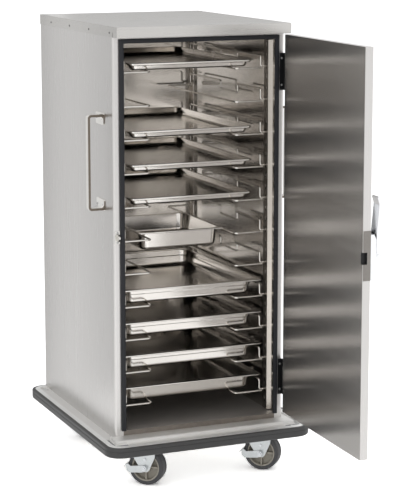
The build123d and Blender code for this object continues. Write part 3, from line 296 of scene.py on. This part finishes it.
def pick(piece, kind, test):
    """Select corners, edges or faces by a test of their middle in millimetres and their direction."""
    bpy.ops.mesh.select_mode(type=kind)
    bpy.ops.mesh.select_all(action="DESELECT")
    mesh = bmesh.from_edit_mesh(piece.data)
    if kind == "VERT":
        for corner in mesh.verts:
            corner.select_set(bool(test(corner.co / MM, corner.normal)))
    elif kind == "EDGE":
        for edge in mesh.edges:
            start, end = (corner.co / MM for corner in edge.verts)
            edge.select_set(bool(test((start + end) / 2, (end - start).normalized())))
    else:
        for face in mesh.faces:
            face.select_set(bool(test(face.calc_center_median() / MM, face.normal)))
    mesh.select_flush_mode()
    bmesh.update_edit_mesh(piece.data)


def round_edges(width, segments=3):
    """Bevel what is selected."""
    bpy.ops.mesh.bevel(offset=width * MM, segments=segments, affect="EDGES", clamp_overlap=True)


def close_edit(piece, degrees=35):
    """Leave edit mode with faces pointing out and smooth shading."""
    bpy.ops.mesh.select_all(action="SELECT")
    bpy.ops.mesh.remove_doubles(threshold=0.000005)
    bpy.ops.mesh.normals_make_consistent(inside=False)
    bpy.ops.object.mode_set(mode="OBJECT")
    smooth(piece, degrees)
    return piece


def joined(name, pieces):
    """Make several pieces one."""
    select_none()
    for piece in pieces:
        piece.select_set(True)
    bpy.context.view_layer.objects.active = pieces[0]
    if len(pieces) > 1:
        bpy.ops.object.join()
    pieces[0].name = name
    return pieces[0]


def copy_to(piece, name, shift=(0, 0, 0), turn=0.0, about="Z"):
    """A copy with its own mesh, turned about the origin and then moved by millimetres."""
    twin = bpy.data.objects.new(name, piece.data.copy())
    bpy.context.scene.collection.objects.link(twin)
    moved = Matrix.Translation([value * MM for value in shift])
    twin.data.transform(moved @ Matrix.Rotation(turn, 4, about))
    return twin


def mirrored(piece, name):
    """A mirror image across the middle of the cabinet."""
    twin = copy_to(piece, name)
    activate(twin)
    twin.scale.x = -1
    bpy.ops.object.transform_apply(location=False, rotation=False, scale=True)
    bpy.ops.object.mode_set(mode="EDIT")
    bpy.ops.mesh.select_all(action="SELECT")
    bpy.ops.mesh.normals_make_consistent(inside=False)
    bpy.ops.object.mode_set(mode="OBJECT")
    return twin


def drop(piece):
    """Delete a pattern piece once its copies are made."""
    bpy.data.objects.remove(piece, do_unlink=True)


def sheet_metal(piece, thickness):
    """Give an open shell its wall, inwards."""
    activate(piece)
    wall = piece.modifiers.new("wall", "SOLIDIFY")
    wall.thickness = thickness * MM
    wall.offset = -1
    wall.use_even_offset = True
    bpy.ops.object.modifier_apply(modifier="wall")


def rounded_loops(name, loops, segments=8):
    """A shell through rounded rectangles, each given as width, length, corner radius and height,
    closed over the last one."""
    select_none()
    bpy.ops.mesh.primitive_plane_add(size=1)
    piece = bpy.context.object
    piece.name = name
    bpy.ops.object.mode_set(mode="EDIT")
    bpy.ops.mesh.select_all(action="SELECT")
    bpy.ops.mesh.delete(type="VERT")
    bpy.ops.mesh.select_mode(type="VERT")
    for width, length, radius, z in loops:
        bpy.ops.mesh.primitive_plane_add(size=1, location=(0, 0, z * MM))
        bpy.ops.transform.resize(value=(width * MM, length * MM, 1), center_override=(0, 0, z * MM))
        bpy.ops.mesh.bevel(offset=radius * MM, segments=segments, affect="VERTICES")
        bpy.ops.mesh.delete(type="ONLY_FACE")
    mesh = bmesh.from_edit_mesh(piece.data)
    per_loop = len(mesh.verts) // len(loops)
    bpy.ops.mesh.select_mode(type="EDGE")
    for index in range(len(loops) - 1):
        bpy.ops.mesh.select_all(action="DESELECT")
        mesh = bmesh.from_edit_mesh(piece.data)
        mesh.verts.index_update()
        for edge in mesh.edges:
            places = {corner.index // per_loop for corner in edge.verts}
            edge.select_set(len(places) == 1 and places <= {index, index + 1})
        bmesh.update_edit_mesh(piece.data)
        bpy.ops.mesh.bridge_edge_loops()
    bpy.ops.mesh.select_all(action="DESELECT")
    mesh = bmesh.from_edit_mesh(piece.data)
    for edge in mesh.edges:
        edge.select_set(all(corner.index // per_loop == len(loops) - 1 for corner in edge.verts))
    bmesh.update_edit_mesh(piece.data)
    bpy.ops.mesh.edge_face_add()
    return close_edit(piece, 40)


PAN_SHEET = 1.0
SHEET_PAN = {"rim": 8, "corner": 26, "rim_corner": 22, "draft": 7, "foot": 9, "bead": 3.2}
STEPPED_PAN = {"rim": 21, "corner": 42, "rim_corner": 10, "draft": 6, "foot": 12, "bead": 1.6, "step": 4}
PLAIN_PAN = {"rim": 21, "corner": 42, "rim_corner": 12, "draft": 10, "foot": 12, "bead": 1.6}
STEAM_PAN = {"rim": 13, "corner": 34, "rim_corner": 8, "draft": 7, "foot": 12, "bead": 1.6}


def pan(node, rim, corner, rim_corner, draft, foot, bead, step=0.0):
    """A drawn pan in the place of its solid: beaded or turned rim, drafted walls, rounded foot."""
    low, high = in_mm(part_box(node))
    width, length, height = high - low
    top = height - PAN_SHEET
    mouth = (width - 2 * rim, length - 2 * rim)

    def wall_loop(z, inset):
        inset += draft * (1 - z / height)
        return (mouth[0] - 2 * inset, mouth[1] - 2 * inset, max(corner - inset, 5), z)

    loops = []
    for degrees in (-80, -40, 0, 40, 90):
        out = bead * (1 - math.cos(math.radians(degrees)))
        z = top - bead + bead * math.sin(math.radians(degrees))
        loops.append((width - 2 * out, length - 2 * out, max(rim_corner - out, 2), z))
    for out, z in ((3.0, top - 0.1), (1.2, top - 0.6), (0.3, top - 2.2)):
        loops.append((mouth[0] + 2 * out, mouth[1] + 2 * out, corner + out, z))
    if step:
        ledge = height * 0.6
        loops += [wall_loop(ledge + 3, 0), wall_loop(ledge + 1.2, 0.3), wall_loop(ledge + 0.2, 1.4),
                  wall_loop(ledge - 0.4, step - 0.8), wall_loop(ledge - 2.2, step)]
    for turn in (0, 25, 50, 70, 85):
        out = foot * (1 - math.cos(math.radians(turn)))
        loops.append(wall_loop(foot * (1 - math.sin(math.radians(turn))) + 0.2, step + out))
    loops += [wall_loop(0.1, step + foot + 2), wall_loop(0, step + foot + 12)]
    piece = rounded_loops(node + "_drawn", loops)
    place = ((low.x + width / 2) * MM, (low.y + length / 2) * MM, low.z * MM)
    piece.data.transform(Matrix.Translation(place))
    if min(piece.data.polygons, key=lambda face: face.center.z).normal.z > 0:
        activate(piece)
        bpy.ops.object.mode_set(mode="EDIT")
        bpy.ops.mesh.select_all(action="SELECT")
        bpy.ops.mesh.flip_normals()
        bpy.ops.object.mode_set(mode="OBJECT")
    sheet_metal(piece, PAN_SHEET)
    smooth(piece, 40)
    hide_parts(node)
    return finish_piece(piece, node_body[node], "pan_steel")


def pans():
    """Four shallow sheet pans, four deep pans and the steam pan."""
    for number in range(1, 5):
        pan(f"sheet_pan_{number}", **SHEET_PAN)
    for number in range(1, 4):
        pan(f"deep_pan_{number}", **STEPPED_PAN)
    pan("deep_pan_4", **PLAIN_PAN)
    pan("steam_pan", **STEAM_PAN)


FOLD_RADIUS = 8
WRAPPER_SHEET = 1.2
BACK_FLANGE = 17
FOOT_FLANGE = 5


def body_wrapper():
    """Side sheets folded round to the front jambs and the header, with the folds as round corners."""
    low, high = in_mm(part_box("side_panels"))
    liner_high = in_mm(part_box("liner_walls"))[1]
    opening = liner_high.x - 1
    header = liner_high.z - 1
    piece = block("body_wrapper", low, high)
    pick(piece, "EDGE", lambda at, way: abs(way.z) > 0.9 and at.y < low.y + 1)
    round_edges(FOLD_RADIUS, 6)
    back = high.y - BACK_FLANGE
    foot = low.z + FOOT_FLANGE
    for place, way in (((opening, 0, 0), (1, 0, 0)), ((-opening, 0, 0), (1, 0, 0)),
                       ((0, 0, header), (0, 0, 1)), ((0, back, 0), (0, 1, 0)), ((0, 0, foot), (0, 0, 1))):
        bpy.ops.mesh.select_all(action="SELECT")
        bpy.ops.mesh.bisect(plane_co=[value * MM for value in place], plane_no=way)
    pick(piece, "FACE", lambda at, way: abs(way.z) > 0.9 or way.y > 0.9
         or (way.y < -0.9 and abs(at.x) < opening and at.z < header)
         or (at.y > back and at.z < foot))
    bpy.ops.mesh.delete(type="FACE")
    close_edit(piece)
    sheet_metal(piece, WRAPPER_SHEET)
    smooth(piece, 30)
    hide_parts("side_panels", "front_frame")
    return finish_piece(piece, "cabinet", "stainless")


def wall_insulation():
    """Glass wool between the shells, drawn back where the body wrapper is folded round the front corners."""
    low, high = in_mm(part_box("insulation"))
    piece = merged_copy("insulation", "wall_insulation")
    bpy.ops.object.mode_set(mode="EDIT")
    pick(piece, "VERT", lambda at, way: at.y < low.y + 1 and abs(at.x) > high.x - 1)
    bpy.ops.transform.translate(value=(0, (FOLD_RADIUS + 2) * MM, 0))
    bpy.ops.object.mode_set(mode="OBJECT")
    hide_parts("insulation")
    finish_piece(piece, "cabinet", "insulation")


RIVET_Y = (250, 48, -154, -356)
RIVET_Z = 1553
RIVET_RADIUS = 3.6
TAB_DEPTH = 38
SEAM_DROP = 22
SEAM_BACK = 42


def cap_details():
    """Rivets along the cap's side flanges and the corner tabs folded round from its front."""
    low, high = in_mm(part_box("top_cap"))
    pattern = disc("rivet", (low.x, 0, RIVET_Z), RIVET_RADIUS, 2.4, "X", 20)
    pick(pattern, "EDGE", lambda at, way: at.x < low.x - 1 and abs(way.x) < 0.1)
    round_edges(1.0, 3)
    close_edit(pattern)
    rivets = [copy_to(pattern, "rivet", (0, y, 0)) for y in RIVET_Y]
    drop(pattern)
    left = joined("cap_rivets_left", rivets)
    right = mirrored(left, "cap_rivets_right")
    for piece in (left, right):
        finish_piece(piece, "cabinet", "seam_shadow")

    tab = block("cap_tab_left", (low.x - 0.7, low.y + 0.3, low.z + 1),
                (low.x + 0.2, low.y + TAB_DEPTH, high.z - 1))
    pick(tab, "VERT", lambda at, way: at.y > low.y + TAB_DEPTH - 1)
    bpy.ops.transform.resize(value=(1, 1, 0.02), center_override=(0, 0, (high.z - 18) * MM))
    pick(tab, "EDGE", lambda at, way: at.x < low.x)
    round_edges(0.3, 2)
    close_edit(tab)
    twin = mirrored(tab, "cap_tab_right")
    for piece in (tab, twin):
        finish_piece(piece, "cabinet", "stainless_across")


def cap_seams():
    """The seam where each front corner of the cap is folded, slanting down and back from its top."""
    low, high = in_mm(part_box("top_cap"))
    slant = block("cap_seam", (low.x - 0.5, low.y + 0.5, high.z - SEAM_DROP),
                  (low.x + 0.1, low.y + 2.2, high.z - 1.5))
    pick(slant, "VERT", lambda at, way: at.z < high.z - SEAM_DROP + 2)
    bpy.ops.transform.translate(value=(0, SEAM_BACK * MM, 0))
    close_edit(slant)
    plumb = block("cap_seam_low", (low.x - 0.5, low.y + 42.7, low.z + 0.5),
                  (low.x + 0.1, low.y + 44, high.z - SEAM_DROP))
    close_edit(plumb)
    left = joined("cap_seam_left", [slant, plumb])
    right = mirrored(left, "cap_seam_right")
    for piece in (left, right):
        finish_piece(piece, "cabinet", "seam_shadow")


HANDLE_MIDDLE = 1115
PLATE_SHIFT = 12


def bow_handles():
    """A flat bar bent to a bow on each side, its side faces painted dark as shade, its screw plates reaching
    inwards.
    """
    low, high = in_mm(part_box("side_handles"))
    bow_half = (high.z - low.z) / 2 - 16
    piece = merged_copy("side_handles", "bow_handles")
    bpy.ops.object.mode_set(mode="EDIT")
    for end in (1, -1):
        pick(piece, "VERT", lambda at, way: abs(at.x) < 320 and (at.z - HANDLE_MIDDLE) * end > 0
             and abs(abs(at.z - HANDLE_MIDDLE) - bow_half) > 0.2
             and abs(abs(at.z - HANDLE_MIDDLE) - bow_half + 8) > 0.2)
        bpy.ops.transform.translate(value=(0, 0, -end * PLATE_SHIFT * MM))
    bpy.ops.object.mode_set(mode="OBJECT")
    break_edges(piece, 0.8)
    bpy.ops.object.mode_set(mode="EDIT")
    # The bar's side faces are split off to carry painted shade.
    pick(piece, "FACE", lambda at, way: abs(way.y) > 0.9)
    edges = cut_free(piece, "bow_handle_shaded_sides")
    for half, material in ((piece, "bow_steel"), (edges, "bar_side_painted_shade")):
        smooth(half)
        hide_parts("side_handles")
        finish_piece(half, "cabinet", material)


def uprights():
    """The uprights, whose slotted faces lie in the shade of the slides beside their bright edges."""
    piece = merged_copy("slide_uprights", "uprights")
    bpy.ops.object.mode_set(mode="EDIT")
    inner = min(abs(corner.co.x / MM) for corner in bmesh.from_edit_mesh(piece.data).verts)
    pick(piece, "FACE", lambda at, way: abs(way.x) > 0.9 and abs(at.x) < inner + 0.1)
    faces = cut_free(piece, "upright_faces")
    for made, material in ((piece, "liner_steel"), (faces, "upright_face")):
        smooth(made)
        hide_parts("slide_uprights")
        finish_piece(made, "cabinet", material)


def floor_lip():
    """The compartment floor's front lip, turned down to the sill, coloured dark as painted shade."""
    low, high = in_mm(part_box("liner_walls"))
    sill = in_mm(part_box("sill_plate"))[1]
    floor_high = in_mm(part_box("floor_panel"))[1]
    lip = block("floor_lip", (low.x, sill.y - 0.9, sill.z), (high.x, sill.y - 0.1, floor_high.z))
    pick(lip, "EDGE", lambda at, way: abs(way.x) > 0.9 and at.z > floor_high.z - 0.5)
    round_edges(0.5, 2)
    close_edit(lip)
    finish_piece(lip, "cabinet", "floor_lip_painted_shade")


def caster_forks():
    """Pressed fork of each caster in zinc plate, its axle, nuts and rivet in bright steel."""
    for place in CASTERS:
        node = "fork_" + place
        piece = merged_copy(node, node + "_pressed")
        break_edges(piece, 0.7)
        solids = sorted(loose_solids(), key=lambda made: made.dimensions.length)
        fork = solids.pop()
        fork.name = node + "_pressed"
        bright = joined(node + "_axle", solids)
        for made, material in ((fork, "zinc"), (bright, "axle_steel")):
            smooth(made)
            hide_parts(node)
            finish_piece(made, node, material)


def fasteners():
    """Domed socket screws and the hexagon bolts of the casters, each in the place of its solid."""
    merged_copy("cabinet_screws", "pattern")
    screws = []
    bolts = []
    for solid in loose_solids():
        corners = [corner.co / MM for corner in solid.data.vertices]
        low = Vector([min(corner[axis] for corner in corners) for axis in range(3)])
        high = Vector([max(corner[axis] for corner in corners) for axis in range(3)])
        middle = (low + high) / 2
        size = high - low
        along = min(range(3), key=lambda axis: abs(size[axis - 1] - size[axis - 2]))
        radius = size[along - 1] / 2
        wide = [corner[along] for corner in corners
                if abs(corner[along - 1] - middle[along - 1]) > radius * 0.9]
        out = Vector((0, 0, 0))
        out[along] = 1 if sum(wide) / len(wide) > middle[along] else -1
        seat = middle.copy()
        seat[along] = (min(wide) if out[along] > 0 else max(wide))
        if abs(seat.x) > 308 and abs(seat.z - HANDLE_MIDDLE) < 170:
            seat.z -= math.copysign(PLATE_SHIFT, seat.z - HANDLE_MIDDLE)
        hexagon = radius > 8
        height = radius * 0.6
        head = disc("head", (0, 0, height / 2), radius, height, "Z", 6 if hexagon else 24)
        if not hexagon:
            pick(head, "EDGE", lambda at, way: at.z > height - 0.1)
            round_edges(height * 0.7, 3)
            pick(head, "FACE", lambda at, way: way.z > 0.9 and at.z > height - 0.1)
            bpy.ops.mesh.inset(thickness=radius * 0.18 * MM)
            bpy.ops.mesh.extrude_region_shrink_fatten(
                TRANSFORM_OT_shrink_fatten={"value": -height * 0.5 * MM})
        else:
            pick(head, "EDGE", lambda at, way: at.z > height - 0.1)
            round_edges(0.8, 1)
        shank = max(size[along] - height, 1)
        bpy.ops.mesh.primitive_cylinder_add(vertices=16, radius=radius / 2 * MM, depth=shank * MM,
                                            location=(0, 0, -shank / 2 * MM))
        close_edit(head)
        head.data.transform(Matrix.Translation(seat * MM)
                            @ Vector((0, 0, 1)).rotation_difference(out).to_matrix().to_4x4())
        (bolts if hexagon else screws).append(head)
        drop(solid)
    for name, pieces, material in (("body_screws", screws, "screw_steel"), ("caster_bolts", bolts, "zinc")):
        piece = joined(name, pieces)
        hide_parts("cabinet_screws")
        finish_piece(piece, "cabinet", material)


WHEEL_WIDTH = 44
CASTER_ANGLE = -42
SPOKES = 4
TYRE_DEPTH = 14
RIM_DEPTH = 5
HUB_RADIUS = 19


def wheel(place):
    """Tyre and spoked core of one caster."""
    low, high = in_mm(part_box("wheel_" + place))
    middle = (low + high) / 2
    radius = (high.z - low.z) / 2
    rim_radius = radius - TYRE_DEPTH
    half = WHEEL_WIDTH / 2

    def from_axle(at):
        return (at.x ** 2 + at.z ** 2) ** 0.5

    def ring(name, outer, inner, width):
        piece = disc(name, (0, 0, 0), outer, width, "Y", 72)
        pick(piece, "FACE", lambda at, way: abs(way.y) > 0.9)
        bpy.ops.mesh.inset(thickness=(outer - inner) * MM)
        pick(piece, "FACE", lambda at, way: abs(way.y) > 0.9 and at.length < width)
        bpy.ops.mesh.bridge_edge_loops()
        return piece

    tyre = ring("tyre_" + place, radius, rim_radius, 2 * half)
    pick(tyre, "EDGE", lambda at, way: abs(abs(at.y) - half) < 0.1 and from_axle(at) > radius - 1)
    round_edges(6, 5)
    pick(tyre, "FACE", lambda at, way: from_axle(at) > radius - 0.5)
    bpy.ops.mesh.inset(thickness=6 * MM, depth=0)
    bpy.ops.transform.resize(value=(0.992, 1, 0.992), center_override=(0, 0, 0))
    close_edit(tyre)

    rim = ring("rim", rim_radius, rim_radius - RIM_DEPTH, 2 * half)
    pick(rim, "EDGE", lambda at, way: abs(abs(at.y) - half) < 0.1)
    round_edges(1.2, 2)
    close_edit(rim)
    web = disc("web", (0, 0, 0), radius - 18, 6, "Y", 48)
    close_edit(web)
    hub = disc("hub", (0, 0, 0), HUB_RADIUS, 2 * half + 2.4, "Y", 32)
    pick(hub, "FACE", lambda at, way: abs(way.y) > 0.9)
    bpy.ops.mesh.inset(thickness=5 * MM)
    bpy.ops.mesh.extrude_region_shrink_fatten(TRANSFORM_OT_shrink_fatten={"value": -2 * MM})
    pick(hub, "EDGE", lambda at, way: abs(at.y) > half and from_axle(at) > HUB_RADIUS - 1)
    round_edges(1, 2)
    close_edit(hub)
    spoke = block("spoke", (12, -half + 4, -3), (radius - 16, half - 4, 3))
    pick(spoke, "EDGE", lambda at, way: abs(way.x) > 0.9)
    round_edges(1.5, 2)
    close_edit(spoke)
    parts = [rim, web, hub] + [copy_to(spoke, "spoke", turn=math.radians(360 / SPOKES * step), about="Y")
                               for step in range(SPOKES)]
    drop(spoke)
    core = joined("core_" + place, parts)
    turned = Matrix.Rotation(math.radians(CASTER_ANGLE), 4, "Z")
    for piece in (tyre, core):
        piece.data.transform(Matrix.Translation(middle * MM) @ turned)
    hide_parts("wheel_" + place)
    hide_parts("wheel_" + place)
    finish_piece(tyre, "wheel_" + place, "wheel_rubber")
    finish_piece(core, "wheel_" + place, "wheel_core")


HINGE = (315, -406.9)
DOOR_OPEN = 88.3
POCKET_LOW = (-305, -404.5, 853)
POCKET_HIGH = (-293, -388.5, 891)


def latch_pocket():
    """The black lining of the latch's pocket in the door's free edge."""
    pocket = block("latch_pocket", POCKET_LOW, POCKET_HIGH)
    pick(pocket, "FACE", lambda at, way: way.x < -0.9 or way.y > 0.9)
    bpy.ops.mesh.delete(type="ONLY_FACE")
    close_edit(pocket)
    sheet_metal(pocket, 0.5)
    corner = Vector((*HINGE, 0)) * MM
    swing = Matrix.Rotation(math.radians(DOOR_OPEN), 4, "Z")
    pocket.data.transform(Matrix.Translation(corner) @ swing @ Matrix.Translation(-corner))
    finish_piece(pocket, "door", "black_plastic")


# Each node that keeps its form, with its material and how far its edges are broken in millimetres.
FINISHES = {
    "top_cap": ("stainless_across", 1.2), "back_panel": ("stainless", 0.4),
    "liner_walls": ("liner_steel", 0), "floor_panel": ("floor_steel_painted_shade", 0),
    "base_deck": ("deck_steel", 0.4), "bumper_channel": ("aluminium", 0.6),
    "bumper_strip": ("bumper_rubber", 0.4), "base_frame": ("base_steel", 0.6),
    "sill_plate": ("deck_steel", 0.6), "door_gasket": ("gasket_rubber", 2.5),
    "wire_slides_left": ("chrome_wire", 0), "wire_slides_right": ("chrome_wire", 0),
    "bottom_slide_left": ("chrome_wire", 0), "bottom_slide_right": ("chrome_wire", 0),
    "strike_plate": ("polished_steel", 0.5), "hinge_leaves_fixed": ("black_steel", 0.4),
    "hinge_leaves_door": ("black_steel", 0.4), "caster_plates": ("zinc", 0.5),
    "control_box": ("base_steel", 0), "control_plate": ("stainless_across", 0.3),
    "thermostat": ("black_plastic", 0.4), "power_switch": ("black_plastic", 0.4),
    "pilot_lamp": ("red_lens", 0.8), "power_inlet": ("black_plastic", 0.4),
    "temperature_probe": ("polished_steel", 0.4), "heating_cables": ("cable_jacket", 0),
    "door_skin": ("stainless", 0.5), "door_inner_panel": ("door_lining", 0.3),
    "door_insulation": ("insulation", 0), "latch_edge_plate": ("latch_plate_steel", 0.4),
    "latch_housing": ("chrome", 1.2), "latch_lever": ("chrome", 0.5),
    "thermostat_knob": ("black_plastic", 0.8), "switch_rocker": ("black_plastic", 0.8),
}
CASTERS = ("front_left", "front_right", "back_left", "back_right")
for node in node_body:
    if node.startswith("brake_"):
        FINISHES[node] = ("zinc", 0.5)
for node, (material, edge) in FINISHES.items():
    dress(node, material, edge)
pans()
body_wrapper()
wall_insulation()
cap_details()
cap_seams()
fasteners()
latch_pocket()
bow_handles()
uprights()
floor_lip()
caster_forks()
for place in CASTERS:
    wheel(place)


FLOOR_GLOW = 0.42
FLOOR_SEEN = 2.1
WORLD_LIGHT = 0.62
BOARD_GLOW = 1.0
CARD_GLOW = 1.25
CAMERA_PLACE = (-2.3562, -5.9472, 1.95497)
CAMERA_PITCH = -9.29
CAMERA_YAW = -23.09
FOCAL_PIXELS = 1807.0


def glowing(name, code, strength):
    """A board that gives off light and takes none."""
    material, _, shader = start_material(name, "#000000", 0.9)
    shader.inputs["Emission Color"].default_value = linear(code)
    shader.inputs["Emission Strength"].default_value = strength
    return material


def studio():
    """White floor and world, boards seen only in reflections, soft lamps and the photograph's camera."""
    select_none()
    bpy.ops.mesh.primitive_plane_add(size=400, location=(0, 0, 0))
    floor = bpy.context.object
    floor.name = "floor"
    material, tree, shader = start_material("white_floor", "#F4F4F4", 0.9)
    path = add(tree, "ShaderNodeLightPath")
    seen = add(tree, "ShaderNodeMath", {0: path.outputs["Is Camera Ray"], 1: path.outputs["Is Glossy Ray"]},
               operation="MAXIMUM")
    glow = add(tree, "ShaderNodeEmission", {"Color": (1, 1, 1, 1), "Strength": FLOOR_GLOW})
    lit = add(tree, "ShaderNodeAddShader", {0: shader.outputs["BSDF"], 1: glow.outputs["Emission"]})
    mirrored_floor = add(tree, "ShaderNodeMixShader", {0: seen.outputs["Value"], 1: shader.outputs["BSDF"],
                                                       2: lit.outputs["Shader"]})
    pale = add(tree, "ShaderNodeBsdfDiffuse", {"Color": (FLOOR_SEEN, FLOOR_SEEN, FLOOR_SEEN, 1)})
    shown = add(tree, "ShaderNodeMixShader", {0: path.outputs["Is Camera Ray"],
                                              1: mirrored_floor.outputs["Shader"], 2: pale.outputs["BSDF"]})
    tree.links.new(shown.outputs["Shader"], tree.nodes["Material Output"].inputs["Surface"])
    floor.data.materials.append(material)

    world = bpy.data.worlds.new("studio")
    bpy.context.scene.world = world
    world.use_nodes = True
    tree = world.node_tree
    path = add(tree, "ShaderNodeLightPath")
    seen = add(tree, "ShaderNodeMath", {0: path.outputs["Is Camera Ray"], 1: path.outputs["Is Glossy Ray"]},
               operation="MAXIMUM")
    clear = add(tree, "ShaderNodeMath", {0: seen.outputs["Value"], 1: path.outputs["Is Transmission Ray"]},
                operation="MAXIMUM")
    level = add(tree, "ShaderNodeMapRange", {"Value": clear.outputs["Value"], "To Min": WORLD_LIGHT,
                                             "To Max": 1.0})
    tree.links.new(level.outputs["Result"], tree.nodes["Background"].inputs["Strength"])
    tree.nodes["Background"].inputs["Color"].default_value = (1, 1, 1, 1)

    grey_board = glowing("grey_board", "#C4C4C4", BOARD_GLOW)
    white_card = glowing("white_card", "#FFFFFF", CARD_GLOW)

    # Grey boards beside the cabinet give its sides the shaded edges that a studio's boards give,
    # and a white card in front of it lights the back wall between the upper pans.
    boards = {
        "board_near": ((-0.30, 0.98, 1.0), 18, 0.5, 2.6, grey_board),
        "board_far": ((-0.95, 0.72, 1.0), 18, 0.5, 2.6, grey_board),
        "board_right": ((2.6, 1.5, 1.2), 120, 1.2, 3.0, grey_board),
        "board_back": ((1.3, 3.0, 1.2), 157, 1.2, 3.0, grey_board),
        "card_front": ((1.55, -3.4, 0.85), 24, 0.9, 1.3, white_card),
    }
    for name, (place, turn, width, height, material) in boards.items():
        bpy.ops.mesh.primitive_plane_add(size=1, location=place,
                                         rotation=(math.pi / 2, 0, math.radians(turn)))
        board = bpy.context.object
        board.name = name
        board.scale = (width, height, 1)
        board.visible_camera = False
        board.visible_diffuse = False
        board.visible_shadow = False
        board.data.materials.append(material)

    lamps = {
        "key": ((-3.2, -3.6, 3.6), 4.0, 50),
        "front": ((-1.3, -3.6, 1.0), 2.4, 24),
        "fill": ((3.4, -2.2, 2.0), 3.0, 10),
        "top": ((0.2, -0.4, 4.2), 4.5, 36),
    }
    for name, (place, size, power) in lamps.items():
        lamp = bpy.data.lights.new(name, "AREA")
        lamp.size = size
        lamp.energy = power
        holder = bpy.data.objects.new(name, lamp)
        bpy.context.scene.collection.objects.link(holder)
        holder.visible_camera = False
        holder.visible_glossy = name == "key"
        holder.location = place
        aim = Vector((0, 0, 0.8)) - Vector(place)
        holder.rotation_euler = aim.to_track_quat("-Z", "Y").to_euler()

    lens = bpy.data.cameras.new("photo_camera")
    lens.sensor_width = 36
    lens.lens = FOCAL_PIXELS / PHOTO_HEIGHT * lens.sensor_width
    lens.shift_y = -0.0914
    camera = bpy.data.objects.new("photo_camera", lens)
    bpy.context.scene.collection.objects.link(camera)
    camera.location = CAMERA_PLACE
    camera.rotation_euler = (math.radians(90 + CAMERA_PITCH), 0, math.radians(CAMERA_YAW))
    bpy.context.scene.camera = camera
    bpy.context.scene.view_settings.view_transform = "Standard"


studio()
